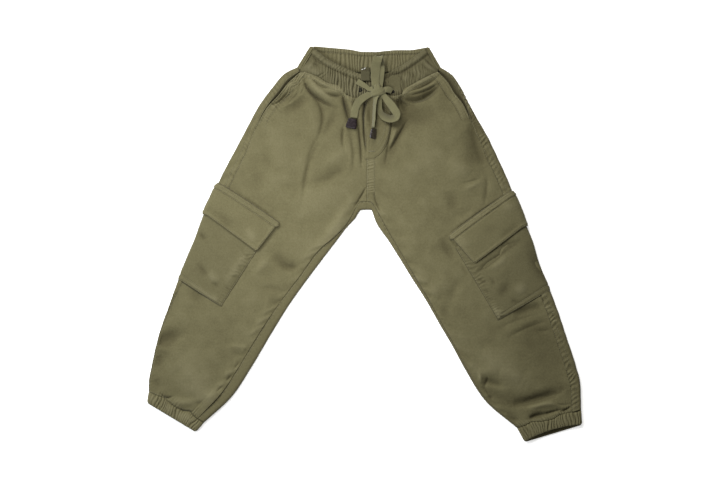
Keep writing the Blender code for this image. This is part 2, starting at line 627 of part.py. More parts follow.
def ring_point(ends, share, upper, radius, wave):
    """A point of a flattened ring: half rounds at its two ends, flat runs between them."""
    inner, outer = ends
    width = np.linalg.norm(outer - inner)
    direction = (outer - inner) / width
    run = width - 2 * CUFF_RADIUS
    travelled = share * (run + np.pi * CUFF_RADIUS)
    quarter = np.pi * CUFF_RADIUS / 2
    if travelled < quarter:
        angle = travelled / CUFF_RADIUS
        along, rise_ = CUFF_RADIUS - radius * np.cos(angle), radius * np.sin(angle)
    elif travelled > quarter + run:
        angle = (travelled - quarter - run) / CUFF_RADIUS
        along, rise_ = width - CUFF_RADIUS + radius * np.sin(angle), radius * np.cos(angle)
    else:
        along, rise_ = CUFF_RADIUS + travelled - quarter, radius
    plan = inner + direction * along
    return (*plan, CUFF_RADIUS + (rise_ + wave if upper else -rise_))


# ---------------------------------------------------------------- cargo pockets, fly
def patch_points(rows, patch, base, puff, wrap, count=(10, 7)):
    """Rows from the side fold to the inner edge of a patch that is moved out by base + puff."""
    down = np.linspace(0, 1, count[0])
    at = patch.start + (patch.end - patch.start) * down
    side = path(rows, "side", at)
    normal = inward(rows, "side", at, path(rows, "front", at))
    edge = np.stack([patch.top_x + (patch.foot_x - patch.top_x) * down,
                     patch.top_y + (patch.foot_y - patch.top_y) * down], axis=-1)
    columns = []
    for angle in np.radians(np.linspace(wrap, 62, 5)):
        plan = side + normal * FOLD_RADIUS * (1 - np.cos(angle))
        out = np.concatenate([-normal * np.cos(angle), np.full((len(at), 1), np.sin(angle))], axis=1)
        level = np.full((len(at), 1), FOLD_RADIUS * (1 + np.sin(angle)))
        moved = base + puff(down, np.zeros_like(down))
        columns.append(np.concatenate([plan, level], axis=1) + out * moved[:, None])
    start = side + normal * 1.6 * FOLD_RADIUS
    for share in eased(count[1], 0.35):
        plan = start + (edge - start) * share
        columns.append(on_cloth(plan, base + puff(down, np.full_like(down, share))))
    return np.stack(columns, axis=1)


def cargo_pocket(name, rows, patch):
    base = LAYER_GAP + POCKET_WALL

    def puff(down, share):
        below_flap = np.clip((down - 0.42) / 0.2, 0, 1)
        return POCKET_PUFF * below_flap * np.sin(np.pi * down) ** 0.5 * np.sin(np.pi * share) ** 0.6

    return shell(name, patch_points(rows, patch, base, puff, POCKET_WRAP, (12, 7)), POCKET_WALL, CLOTH)


def cargo_flap(name, rows, patch):
    base = LAYER_GAP + FLAP_WALL
    step = 1.5 * LAYER_GAP + POCKET_WALL

    def lift(down, share):
        return step * np.clip(down / 0.1, 0, 1)

    return shell(name, patch_points(rows, patch, base, lift, FLAP_WRAP, (8, 7)), FLAP_WALL, CLOTH)


def fly_placket():
    """The J-shaped placket beside the centre front, on the left front."""
    seam = waist_seam()
    bend = FLY_BEND_Y - FLY_FOOT_Y
    rows = []
    for drop in np.concatenate([np.linspace(0, 0.55, 5), 1 - 0.45 * np.cos(np.linspace(0.35, 1.5, 6))]):
        right = FLY_RIGHT
        y_flat = 252.0 - drop * (252.0 - FLY_FOOT_Y)
        if y_flat < FLY_BEND_Y:
            part = min((FLY_BEND_Y - y_flat) / bend, 0.97)
            right = FLY_LEFT + (FLY_RIGHT - FLY_LEFT) * np.sqrt(1 - part ** 2)
        xs = np.linspace(FLY_LEFT + 2.5 * (1 - drop), right, 5)
        top = np.interp(xs, seam[:, 0], seam[:, 1]) - SEAM_GAP
        rows.append([(x, min(y_flat + 4 * (1 - drop), limit - 96 * drop)) for x, limit in zip(xs, top)])
    return shell("fly_placket", on_cloth(np.array(rows), LAYER_GAP + FLY_WALL), FLY_WALL, CLOTH)


# ---------------------------------------------------------------- drawcord
def tape(name, route):
    """A stretch of flat tape through its route's points."""
    knots = range(len(route))
    at = np.linspace(0, len(route) - 1, 2 * len(route))
    values = {field: smooth(knots, [getattr(point, field) for point in route], at)
              for field in Tape._fields}
    plan = np.stack([values["x"], values["y"]], axis=-1)
    centre = on_cloth(plan, values["lift"])
    along = np.gradient(centre, axis=0)
    across, tilt = np.radians(values["across"]), np.radians(values["tilt"])
    wide = np.stack([np.cos(across) * np.cos(tilt), np.sin(across) * np.cos(tilt), np.sin(tilt)], axis=-1)
    up = np.cross(along, wide)
    up /= np.linalg.norm(up, axis=-1, keepdims=True)
    half = wide * values["width"][:, None] / 2
    thick = up * TAPE_WALL / 2
    sections = np.stack([centre - half - thick, centre + half - thick,
                         centre + half + thick, centre - half + thick], axis=1)
    return loft(name, sections, TAPE_COLOUR)


def cord_tip(name, tip):
    """A flat moulded end on the tape, with rounded edges."""
    bm = bmesh.new()
    bmesh.ops.create_cube(bm, size=1.0)
    bmesh.ops.scale(bm, verts=bm.verts, vec=Vector(TIP_SIZE) * MM)
    made = new_object(name, bm, TIP_COLOUR, 0.35)
    level = float(height(np.array([tip.x, tip.y]))) + tip.lift
    turn = Matrix.Rotation(np.radians(tip.turn), 4, "Z") @ Matrix.Rotation(np.radians(tip.tilt), 4, "Y")
    made.matrix_world = Matrix.Translation(Vector((tip.x, tip.y, level)) * MM) @ turn
    bevel = made.modifiers.new("rounding", "BEVEL")
    bevel.width = 1.0 * MM
    bevel.segments = 2
    return made


def knot():
    bm = bmesh.new()
    bmesh.ops.create_uvsphere(bm, u_segments=14, v_segments=8, radius=1.0)
    bmesh.ops.scale(bm, verts=bm.verts, vec=Vector(KNOT_RADII) * MM)
    made = new_object("drawcord_knot", bm, TAPE_COLOUR)
    level = float(height(np.array(KNOT_CENTRE))) + KNOT_LIFT
    made.location = Vector((*KNOT_CENTRE, level)) * MM
    return made


# ---------------------------------------------------------------- the whole garment
def clear_scene():
    for thing in list(bpy.data.objects):
        bpy.data.objects.remove(thing, do_unlink=True)


def main():
    clear_scene()
    collection = bpy.data.collections.new(COLLECTION)
    bpy.context.scene.collection.children.link(collection)
    for side, rows, hem, pocket, flap in (("right", RIGHT_LEG, RIGHT_CUFF, RIGHT_POCKET, RIGHT_FLAP),
                                          ("left", LEFT_LEG, LEFT_CUFF, LEFT_POCKET, LEFT_FLAP)):
        front("front_" + side, rows)
        back("back_" + side, rows)
        hip_facing("hip_facing_" + side, rows)
        cuff("cuff_" + side, rows, hem)
        cargo_pocket("cargo_pocket_" + side, rows, pocket)
        cargo_flap("cargo_flap_" + side, rows, flap)
    waistband_front()
    waistband_back()
    waist_tab()
    fly_placket()
    for name, route in TAPES.items():
        tape(name, route)
    for name, tip in TIPS.items():
        cord_tip(name, tip)
    knot()


main()
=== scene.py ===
"""Looks of a child's cargo joggers, laid flat with the front up.

The form repeats the construction's tables and formulas with finer rows, and adds the
folds, puckers, gathers, stitching, drawcord and cloth. Tables and sizes are in
millimetres; right and left are the wearer's.
"""
from collections import namedtuple

import bmesh
import bpy
import numpy as np
from mathutils import Matrix, Vector
from mathutils.bvhtree import BVHTree


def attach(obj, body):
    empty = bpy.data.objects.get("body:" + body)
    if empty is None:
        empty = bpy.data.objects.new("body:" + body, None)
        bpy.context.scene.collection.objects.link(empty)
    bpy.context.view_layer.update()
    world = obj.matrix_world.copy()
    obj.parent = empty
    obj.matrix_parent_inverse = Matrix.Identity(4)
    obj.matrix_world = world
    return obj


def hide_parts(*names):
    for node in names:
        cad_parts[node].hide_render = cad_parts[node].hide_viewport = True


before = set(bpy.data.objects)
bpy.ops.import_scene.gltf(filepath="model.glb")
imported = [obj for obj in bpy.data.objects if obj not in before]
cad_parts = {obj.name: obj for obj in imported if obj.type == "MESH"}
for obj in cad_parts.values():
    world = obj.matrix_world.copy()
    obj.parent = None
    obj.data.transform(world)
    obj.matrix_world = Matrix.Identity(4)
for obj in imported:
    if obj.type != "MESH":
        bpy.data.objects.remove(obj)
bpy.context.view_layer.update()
MM = 0.001
UP = np.array([0.0, 0.0, 1.0])


def rows_of(kind, *rows):
    """A table: each row gets the kind's named columns."""
    return tuple(kind(*row) for row in rows)


# ---------------------------------------------------------------- sizes shared with the construction
TWILL = 1.2                # one layer of the cloth
BAND_WALL = 2.8            # folded twill round its elastic
CUFF_WALL = 2.7
POCKET_WALL = 1.2
FLAP_WALL = 1.5
FLY_WALL = 1.0
SEAM_GAP = 0.6
SEAM_LAP = 0.8             # the bands lap over the edges they are sewn to
SIDE_LAP = 2.4             # and further at the side folds
END_LAP = 1.0              # the front band's ends lap over the back run
CORNER_ROUND = 2.6         # how far the bands' top corners are rounded off
LAYER_GAP = 0.5
FOLD_RADIUS = 4.6          # of the side and inner folds
LOFT_REACH = 26.0
FIRST_CURB = np.radians(40)
CROTCH = 7                 # the station where the legs part

Loft = namedtuple("Loft", "y height")
LOFTS = rows_of(Loft, (-345, 9.4), (-275, 9.6), (-200, 11.6), (-60, 13.0), (80, 14.0), (180, 15.0),
                      (345, 14.0))
# Each leg from the waist seam (station 0) to the cuff seam (station 20).
Station = namedtuple("Station", "front_x front_y back_x back_y side_x side_y strip mouth")
RIGHT_LEG = rows_of(Station,
    (4.6, 255.0, 9.3, 291.6, -113.9, 300.9, 8.5, 11.0),
    (0.6, 233.8, 7.5, 260.0, -136.8, 289.0, 11.0, 17.0),
    (-1.4, 209.9, 6.2, 228.0, -158.1, 264.3, 11.9, 17.8),
    (-0.8, 182.8, 5.3, 196.0, -179.3, 235.4, 11.9, 14.2),
    (2.6, 155.5, 4.7, 163.0, -198.9, 199.8, 14.4, 14.4),
    (4.2, 128.3, 4.4, 130.0, -216.8, 165.8, 18.7, 18.7),
    (4.2, 101.1, 4.2, 96.0, -233.8, 134.3, 20.4, 20.4),
    (4.2, 71.7, 4.2, 57.3, -249.0, 103.7, 21.2, 21.2),
    (-3.7, 72.2, -5.1, 56.9, -255.0, 89.2, 21.2, 21.2),
    (-9.7, 68.5, -10.0, 52.2, -260.9, 75.6, 21.2, 21.2),
    (-17.8, 54.4, -15.1, 43.4, -267.8, 62.0, 20.4, 20.4),
    (-25.8, 39.9, -23.8, 34.0, -273.7, 47.6, 20.4, 20.4),
    (-34.9, 27.2, -32.3, 24.6, -279.6, 30.6, 20.4, 20.4),
    (-52.3, 10.6, -46.2, 6.0, -288.1, 6.8, 19.6, 19.6),
    (-78.6, -12.5, -67.1, -21.2, -299.2, -18.7, 18.7, 18.7),
    (-108.8, -54.0, -97.8, -62.0, -316.2, -58.6, 10.2, 10.2),
    (-142.0, -97.8, -129.2, -106.2, -334.9, -109.6, 4.4, 4.4),
    (-176.0, -148.0, -160.7, -157.2, -352.8, -164.0, 3.0, 3.0),
    (-208.7, -201.8, -192.9, -211.7, -362.9, -209.9, 3.0, 3.0),
    (-238.7, -248.4, -225.2, -260.1, -367.5, -237.2, 3.0, 3.0),
    (-283.0, -296.0, -273.5, -305.5, -367.4, -251.6, 3.0, 3.0),
)
LEFT_LEG = rows_of(Station,
    (4.6, 255.0, 9.3, 291.6, 129.2, 300.1, 5.1, 9.5),
    (0.6, 233.8, 7.5, 260.0, 148.8, 287.3, 4.2, 14.4),
    (-1.4, 209.9, 6.2, 228.0, 164.9, 264.3, 4.2, 15.3),
    (-0.8, 182.8, 5.3, 196.0, 177.7, 238.8, 5.1, 10.2),
    (2.6, 155.5, 4.7, 163.0, 192.9, 211.7, 11.9, 11.9),
    (4.2, 128.3, 4.4, 130.0, 209.9, 181.9, 15.3, 15.3),
    (4.2, 101.1, 4.2, 96.0, 226.9, 146.2, 17.0, 17.0),
    (4.2, 71.7, 4.2, 57.3, 242.2, 113.0, 17.0, 17.0),
    (10.2, 71.2, 11.4, 56.9, 248.5, 97.8, 17.0, 17.0),
    (17.2, 63.8, 14.8, 49.3, 254.2, 81.9, 17.0, 17.0),
    (26.3, 47.6, 18.9, 37.4, 260.1, 67.5, 17.0, 17.0),
    (36.5, 28.9, 28.1, 22.1, 266.9, 51.3, 17.0, 17.0),
    (48.4, 8.5, 39.9, 6.0, 273.7, 32.6, 17.8, 17.8),
    (66.6, -22.4, 60.4, -26.3, 284.8, 3.9, 17.8, 17.8),
    (87.7, -58.7, 82.5, -62.0, 297.5, -32.6, 17.8, 17.8),
    (109.8, -95.2, 105.4, -97.8, 312.8, -71.2, 18.7, 18.7),
    (131.3, -134.6, 127.5, -136.8, 328.9, -113.0, 18.7, 18.7),
    (153.2, -172.2, 149.6, -174.2, 344.2, -158.9, 18.7, 18.7),
    (174.9, -213.1, 171.7, -215.0, 359.6, -205.7, 18.7, 18.7),
    (207.6, -264.4, 204.8, -266.9, 368.1, -242.2, 17.8, 17.8),
    (262.5, -311.7, 260.1, -314.5, 369.2, -283.1, 17.0, 17.0),
)
LAST = len(RIGHT_LEG) - 1
Sag = namedtuple("Sag", "x drop")
SAGS = rows_of(Sag, (-108, 0), (-98, -3), (-81, -2), (-63, 3.5), (-47, 2.5), (-37, 5), (-31, 14),
                    (-20, 14.5), (9, 5), (34, 12), (52, 19), (63, 20), (67, 12), (76, 10), (98, 4.5),
                    (124, 0))
CUFF_REACH = 17.0          # from this station the leg's rows turn to run along the cuff
SAG_ENDS = 3.0             # the waist seam's sag fades out by this station

Waist = namedtuple("Waist", "x front_y back_y")
WAIST = rows_of(Waist, (-91.0, 337.4, 337.4), (-79.0, 324.7, 336.2), (-65.5, 313.6, 334.8),
                       (-46.8, 303.4, 333.2), (-24.6, 293.2, 331.0), (-4.2, 286.4, 327.4),
                       (17.8, 284.8, 327.0), (36.5, 287.3, 328.8), (55.2, 296.6, 330.2),
                       (75.6, 309.4, 330.2), (94.3, 323.0, 332.6), (108.0, 336.1, 336.1))
BACK_GATHERS = 26

Cuff = namedtuple("Cuff", "inner_x inner_y outer_x outer_y pulled")
RIGHT_CUFF = Cuff(-286.4, -320.4, -370.4, -270.0, 0.0)
LEFT_CUFF = Cuff(272.8, -338.3, 371.1, -308.6, 8.0)
CUFF_RADIUS = 4.75
CUFF_GATHERS = 23

Patch = namedtuple("Patch", "start end top_x top_y foot_x foot_y")
RIGHT_POCKET = Patch(8.2, 15.1, -155.5, 29.0, -243.1, -108.0)
LEFT_POCKET = Patch(9.5, 15.24, 154.0, -8.0, 226.6, -130.8)
RIGHT_FLAP = Patch(7.0, 10.9, -144.0, 35.7, -182.8, -14.4)
LEFT_FLAP = Patch(8.5, 12.15, 143.1, 14.4, 186.4, -35.4)
POCKET_PUFF = 3.2
POCKET_WRAP = -40.0
FLAP_WRAP = -24.0

MOUTH_STATION = 3.8
MOUTH_UNDERLAP = 12.0
MOUTH_DROP = 1.2
MOUTH_LIFT = 1.7
MOUTH_SOFTNESS = 9.0

FLY_RIGHT = 45.5
FLY_LEFT = 1.2
FLY_BEND_Y = 200.0
FLY_FOOT_Y = 141.0
FLY_TOP_Y = 252.0
FLY_MIDDLE = np.array([FLY_LEFT + 4, 215.0])    # the rows of stitches are the outline drawn towards it
FLY_TACK = (12.3, 156.5, 0, 11)                 # the bartack: x, y, turn and length

TAPE_WALL = 1.2
# A tape's shade is painted shade on its inner side, where a loop shadows it.
Tape = namedtuple("Tape", "x y lift across tilt width shade", defaults=[0.0])
LEAD_RIGHT = rows_of(Tape, (-12.5, 275, 1.4, 50, 0, 10), (-5.5, 270.5, 3.4, 60, 10, 9.5),
                           (2, 266, 4.4, 65, 10, 8), (8.6, 261.5, 4.8, 75, 0, 7.5))
LEAD_LEFT = rows_of(Tape, (46.5, 258, 0.6, 75, 0, 9), (42, 260.4, 3.0, 80, 0, 10.5),
                          (36.5, 261, 4.8, 90, 0, 9.5))
LOOP_UP = rows_of(Tape, (18.6, 269, 5.4, 0, -6, 12), (18.0, 282, 4.6, 0, -8, 14.5),
                        (19.0, 297, 5.0, 0, -8, 16), (21.0, 308.5, 7.4, 0, -6, 16),
                        (23.4, 314.4, 7.4, 0, -6, 15), (25.2, 316.4, 4.8, 0, -6, 13),
                        (26.4, 312.0, 2.8, 0, -40, 14), (27.2, 304, 2.2, 0, -34, 14, 0.3),
                        (27.8, 292, 3.0, 0, 2, 12.5, 0.6), (26.4, 270, 3.2, 0, 0, 10, 0.6))
LOOP_SIDE = rows_of(Tape, (34.9, 247.4, 4.6, 42, 6, 10), (43.4, 236.5, 6.4, 40, 6, 13),
                          (50.4, 226.4, 8.2, 36, 10, 13.5), (54.6, 218.4, 8.2, 10, 12, 12.5),
                          (52.2, 212.4, 7.2, -38, 14, 12, 0.7), (44.0, 211.0, 6.0, -78, 16, 13.5, 1.6),
                          (34.4, 214.2, 4.8, -98, 10, 13, 1.6), (27.4, 221.5, 3.0, -130, 6, 10, 1.2))
TAIL_RIGHT = rows_of(Tape, (8.2, 252.4, 2.6, 118, 0, 10), (-1, 247.6, 2.2, 128, 0, 12),
                           (-9.6, 240.4, 2.0, 142, 0, 12.5), (-15.4, 229, 1.8, 160, 0, 12.5),
                           (-18.2, 213.6, 1.8, 172, 0, 12))
TAIL_LEFT = rows_of(Tape, (19.6, 249, 4.8, 0, 40, 12), (17.6, 239, 5.4, 0, 62, 12),
                          (16.8, 225, 6.2, 0, 66, 12), (14.6, 196.4, 6.6, 0, 68, 11.5))
# The stretches inside the knot and under the middle tail, where the solids aren't parted.
TUCK_UP = rows_of(Tape, (14, 262, 5.8, 40, 0, 9))
TUCK_DOWN = rows_of(Tape, (25.5, 261, 4.0, 20, 0, 9), (18.5, 254.5, 3.4, 75, 0, 9))
TUCK_SIDE = rows_of(Tape, (31.0, 254.5, 5.0, 60, 0, 8.5))
TUCK_UNDER = rows_of(Tape, (25.6, 230, 2.0, -175, 0, 8.5), (25.4, 240, 1.8, -180, 0, 8.5),
                           (25, 249, 2.2, -180, 0, 8.5), (23.5, 256, 4.0, -180, 0, 9))
Tip = namedtuple("Tip", "x y lift turn tilt")
TIPS = {
    "cord_tip_right": Tip(-21.6, 203.2, 2.6, -12, 0),
    "cord_tip_left": Tip(14.8, 185.4, 8.0, -5, 56),
}
TIP_SIZE = (18.6, 17.4, 3.6)
KNOT_CENTRE = (23.0, 258.4)
KNOT_LIFT = 5.8

TAB_CENTRE = (1.5, 288.0)
TAB_SIZE = (15.0, 24.0, 0.8)
TAB_STITCHES = ((-3.4, 296.2, 22), (0.6, 298.2, 40), (-4.6, 301.0, 10))
TAB_TURN = 294.0           # where the tab rises on to the front's edge

# How far the cuffs' seams wander up the leg, by share of the way from the inner fold.
Wander = namedtuple("Wander", "share up")
RIGHT_WANDER = rows_of(Wander, (0, 0), (0.14, 0.7), (0.28, 5.0), (0.40, -0.4), (0.52, 0), (0.74, 3.3),
                               (0.9, 0.5), (1, 0))
LEFT_WANDER = rows_of(Wander, (0, 0), (0.14, 1.2), (0.23, 3.9), (0.40, -0.5), (0.55, -1.7), (0.66, 1.8),
                              (0.78, 2.0), (0.94, -2.0), (1, 0))
# ---------------------------------------------------------------- sizes of the fine form
TOP_PITCH = 0.9            # rows above the crotch, and below it
LEG_PITCH = 1.5
FRONT_COLUMNS = 150
STRIP_COLUMNS = 13
FOLD_COLUMNS = 8
FLOOR_COLUMNS = 14
LEAST_STEP = 0.3           # between two rows of the floor's grid
EDGE_ROUND = 1.3           # how far in from an edge the cloth turns down
EDGE_DROP = 0.8
BUTT_LAP = 0.25            # sewn edges meet in their groove, each this far past the seam line
SEAM_WAVE = 5.2            # length of the small waves along stitched seams
STRIP_LAP = 1.4            # the backs' strips go this far under the fronts' edges,
STRIP_DIP = 2.2            # dipping this much
ALLOWANCE = 9.0            # width of the seam allowance that shows as a ridge
HEM_WIDTH = 13.5           # of the slant pockets' hems
MOUTH_PUCKER = 24.0        # how far the puckers of the pockets' hems reach
RELIEF_SCALE = 1.6         # relief, in mm, that counts as full light or shade in the dye
FOLD_UNPAINTED = 0.6             # share of a fold's depth left out of the colour; the rest is painted shade in its trough, painted light on a ridge
FOLD_SCALE = 1.25
CRISP_WIDTH = 5.5          # narrower folds are creases, with a sharp bottom

# Folds, charted in the garment's own millimetres: three points, half width, depth
# (a ridge is negative) and lean (which side is steeper).
Fold = namedtuple("Fold", "x0 y0 x1 y1 x2 y2 width depth lean", defaults=(0.0,))
FOLDS = rows_of(Fold,
    # right hip: the pleats under the waistband, then the long soft creases
    (-102, 277, -86, 251, -47, 230, 3.6, 6.4, 0.3),
    (-161, 236, -145, 241, -128, 259, 2.4, 3, 0.3),
    (-99, 251, -113, 235, -139, 225, 8.5, 3),
    (-120, 261, -133, 249, -150, 234, 5.1, 1.6),
    (-145, 256, -127, 247, -106, 251, 8.5, 1.6),
    (-105, 253, -125, 239, -144, 229, 3.1, -1),
    (-110, 259, -120, 248, -135, 234, 1.5, 1.1),
    (-116, 261, -130, 251, -145, 235, 1.4, 1),
    (-116, 280, -133, 262, -156, 247, 3.1, -1.2),
    (-110, 278, -110, 266, -116, 256, 1.9, 1),
    (-103, 268, -105, 259, -111, 252, 1.7, 0.8),
    (-96, 281, -77, 261, -48, 242, 6.1, -2.8),
    (-234, 98, -188, 68, -143, 37, 1.5, 2.6),
    (-91, 271, -82, 258, -65, 246, 4.1, -0.8),
    (-96, 288, -72, 270, -45, 261, 4.8, -2),
    (-93, 286, -76, 269, -57, 264, 2.5, 3.4, 0.2),
    (-66, 257, -52, 251, -37, 251, 2.9, 4.2, 0.2),
    (-65, 260, -48, 258, -35, 259, 3.4, -1.2),
    (-37, 252, -33, 235, -25, 208, 3.4, 5.6, 0.2),
    (-30, 254, -25, 237, -20, 217, 4.4, -1.4),
    (-15, 249, -17, 237, -20, 224, 3.1, 2.4),
    (-89, 251, -71, 218, -81, 176, 4.8, 3, 0.2),
    (-82, 176, -96, 137, -106, 64, 4.1, 2.2),
    (-77, 171, -91, 142, -103, 88, 4.4, 1.5),
    (-99, 244, -88, 217, -88, 186, 7.6, -0.9),
    (-88, 176, -94, 145, -105, 116, 3.1, -0.8),
    (-48, 227, -59, 201, -71, 179, 6.8, 1.8),
    (-88, 103, -57, 113, -31, 132, 8.2, 2.4, 0.2),
    (-72, 130, -54, 142, -31, 157, 8.5, -1.3),
    (-139, 96, -125, 96, -110, 99, 8.5, 1),
    (-35, 201, -37, 181, -35, 161, 3.4, 2.8),
    (-30, 213, -19, 159, -21, 122, 5.4, 1.6),
    (-14, 224, -7, 173, -5, 130, 2.9, 3.6),
    (3, 254, 1, 237, -2, 210, 3.2, 6.4),
    (-26, 176, -23, 150, -26, 128, 4.1, -0.8),
    (-184, 122, -181, 105, -174, 88, 11.9, 1),
    (-14, 81, -33, 54, -59, 23, 7.6, -1.3),
    (-161, 213, -144, 159, -137, 125, 20.4, -1.2),
    (-1, 227, -1, 196, 3, 156, 2.0, 4.4),
    (29, 241, 33, 230, 40, 220, 5.1, 6),
    (3, 96, -5, 81, -18, 60, 2.2, 2.6),
    (17, 88, 20, 71, 30, 50, 2.2, 2.2),
    (-113, 62, -76, 71, -35, 91, 25.5, -1.8),
    (-76, -18, -52, 13, -26, 50, 11.0, -1.6),
    (-111, 173, -101, 145, -106, 111, 11.9, -1.2),
    (-33, 244, -28, 225, -25, 200, 5.8, 2.4),
    (4, 251, 9, 230, 11, 203, 6.8, 4.4),
    (-174, 200, -171, 183, -164, 166, 13.6, 0.8),
    # right knee and shin
    (-157, -16, -133, -38, -111, -38, 8.5, 2.5, 0.2),
    (-142, -33, -128, -42, -113, -38, 5.8, 1.7),
    (-191, -57, -174, -38, -154, -18, 6.8, -1.2),
    (-174, -76, -156, -77, -133, -81, 6.1, 1.3),
    (-164, -96, -154, -98, -142, -99, 6.1, 1),
    (-303, -74, -286, -91, -297, -116, 10.2, 1.6),
    (-322, -72, -332, -101, -337, -130, 15.3, 1.6),
    (-346, -164, -343, -191, -351, -222, 13.6, 1.4),
    (-273, -220, -247, -210, -224, -195, 10.2, 0.9),
    (-280, -280, -259, -268, -234, -239, 8.5, -1.6),
    (-166, -103, -173, -127, -186, -149, 8.5, -1.2),
    (-110, -38, -72, 6, -33, 48, 8.5, -1.2),
    (-351, -167, -334, -164, -307, -150, 11.2, 3.8, 0.2),
    (-353, -190, -351, -201, -354, -215, 6.8, 1.3),
    (-354, -229, -351, -241, -348, -252, 6.8, 1.3),
    (-351, -176, -343, -179, -332, -184, 5.1, -1.1),
    (-314, -191, -293, -215, -266, -246, 22.1, -1.9),
    (-237, -176, -217, -175, -193, -178, 4.1, -1),
    (-229, -188, -213, -188, -198, -190, 6.1, 1.2),
    (-348, -255, -337, -263, -326, -260, 2.5, 3.2, 0.2),
    (-315, -281, -305, -287, -293, -286, 2.5, 4, 0.2),
    (-288, -272, -281, -272, -275, -268, 5.1, 1.3),
    (-269, -265, -259, -257, -247, -248, 6.1, -1.6),
    (-249, -244, -242, -239, -235, -233, 4.8, -1.1),
    (-239, -225, -232, -221, -224, -213, 5.4, -1),
    (-235, -234, -231, -230, -227, -226, 2.9, 1.7),
    (-251, -252, -246, -247, -241, -243, 2.9, 1.7),
    (-222, -213, -217, -208, -213, -202, 2.7, 1.1),
    (-212, -191, -206, -181, -200, -173, 4.8, -0.9),
    (-193, -156, -188, -149, -183, -140, 5.1, -0.9),
    (-327, -264, -307, -271, -286, -266, 6.8, -2),
    (-320, -218, -297, -242, -269, -264, 20.4, -1.4),
    (-286, -269, -269, -261, -246, -241, 15.3, -1.5),
    # left hip: the cloth is rolled over below the waistband, with a hollow under it
    (67, 261, 94, 273, 125, 290, 3.7, -1.6),
    (77, 258, 101, 267, 122, 280, 2.5, 4),
    (69, 256, 96, 263, 122, 274, 3.4, -1.9),
    (79, 252, 103, 259, 123, 270, 2.4, 3.2),
    (65, 259, 69, 256, 76, 254, 5.1, -1.4),
    (67, 246, 96, 244, 126, 266, 5.1, 8, 0.4),
    (61, 252, 65, 239, 73, 225, 4.4, 6),
    (57, 237, 71, 232, 89, 237, 8.5, 2.4),
    (55, 247, 59, 234, 57, 213, 3.1, 3),
    (142, 15, 196, 53, 250, 90, 1.7, 2.4),
    (141, 12, 163, -11, 187, -36, 1.7, 2.2),
    (72, 208, 60, 186, 42, 156, 4.1, 4.8, 0.2),
    (47, 207, 42, 176, 35, 132, 3.4, 2.2),
    (55, 200, 49, 179, 40, 162, 3.1, -1.6),
    (52, 212, 64, 203, 81, 200, 7.5, 1.5),
    (167, 193, 188, 159, 196, 128, 13.6, 2.8),
    (144, 91, 149, 74, 157, 57, 11.9, 1.6),
    (20, 94, 33, 84, 48, 72, 4.1, 1.2),
    (208, 116, 208, 91, 203, 65, 5.1, 1.5),
    (167, 103, 183, 106, 198, 111, 3.4, 1.2),
    (169, 91, 184, 98, 201, 106, 4.4, -1.1),
    (57, 137, 77, 128, 96, 118, 11.9, -0.8),
    (103, 213, 115, 167, 122, 125, 22.1, -1.2),
    (40, 244, 81, 215, 128, 227, 20.4, 3.4),
    (33, 224, 47, 207, 62, 196, 6.8, 2.4),
    (67, 196, 52, 166, 33, 132, 8.5, 1.8),
    (130, 278, 140, 258, 150, 235, 10.2, 1.6),
    (98, 249, 113, 255, 127, 266, 6.8, 3.2),
    (55, 244, 67, 237, 81, 237, 6.1, 2.6),
    (179, 224, 190, 201, 196, 176, 5.1, 2.4),
    (190, 213, 198, 196, 208, 176, 2.7, 1.4),
    (179, 207, 190, 176, 205, 132, 7.8, 2.8),
    (203, 162, 210, 145, 215, 128, 4.1, 1.4),
    (26, 111, 54, 106, 82, 88, 15.3, -1.2),
    (142, 145, 161, 130, 179, 115, 13.6, -2.2),
    (67, 16, 81, -4, 94, -25, 11.9, -1.4),
    (111, -86, 128, -69, 142, -52, 11.9, -1.2),
    (152, 30, 173, 43, 198, 64, 8.5, -1),
    (111, -9, 133, -13, 156, -13, 10.2, 1.2),
    (130, 65, 120, 48, 111, 37, 10.2, 0.8),
    (183, 60, 171, 50, 159, 47, 6.8, 0.9),
    # left thigh and knee
    (130, 11, 142, -9, 156, -31, 8.5, 2.4),
    (166, -35, 171, -45, 178, -55, 4.1, 1.2),
    (167, -60, 152, -82, 145, -106, 8.5, 1.5),
    (145, -99, 139, -116, 147, -135, 7.8, 1.2),
    (106, -69, 116, -82, 128, -98, 8.5, -1.1),
    (84, -50, 98, -60, 113, -65, 8.5, -1.2),
    (251, -122, 278, -113, 302, -105, 7.5, 2.8),
    (247, -127, 298, -173, 326, -242, 28.9, 2.4),
    (230, -156, 266, -140, 298, -125, 6.1, -0.7),
    (246, -159, 276, -144, 310, -132, 4.4, 1.1, 0.2),
    (222, -147, 261, -130, 307, -116, 4.1, 0.8),
    (292, -147, 303, -149, 317, -145, 4.1, 1.3),
    (193, -191, 230, -208, 271, -229, 22.1, -2.1),
    (60, 48, 74, 33, 84, 20, 10.2, -0.8),
    # left shin and the deep pinches over the cuff
    (210, -228, 208, -235, 204, -244, 3.6, 2.8),
    (208, -234, 218, -238, 239, -243, 5.8, 2.8, 0.3),
    (195, -218, 197, -229, 198, -239, 4.1, -2),
    (227, -218, 251, -225, 275, -239, 10.2, -1.3),
    (207, -255, 211, -258, 215, -259, 3.1, -1.4),
    (191, -222, 208, -217, 230, -220, 8.5, -1),
    (203, -242, 212, -258, 220, -266, 3.7, 1.9),
    (179, -201, 186, -212, 196, -225, 6.1, -1.3),
    (251, -275, 292, -268, 334, -253, 7.1, 6.4, 0.4),
    (207, -252, 237, -264, 271, -273, 13.6, 2.6),
    (275, -283, 307, -273, 346, -276, 5.1, -2.4),
    (319, -268, 334, -274, 351, -273, 2.9, 1.7),
    (280, -299, 293, -294, 310, -291, 4.9, 6.4, 0.2),
    (305, -291, 320, -287, 337, -282, 3.2, 4.6),
    (332, -286, 343, -283, 351, -277, 2.7, 3),
    (309, -293, 326, -287, 344, -278, 3.7, -1.2),
    (241, -288, 252, -297, 264, -302, 6.8, 1.8),
    (213, -241, 230, -252, 244, -263, 8.5, -1),
)
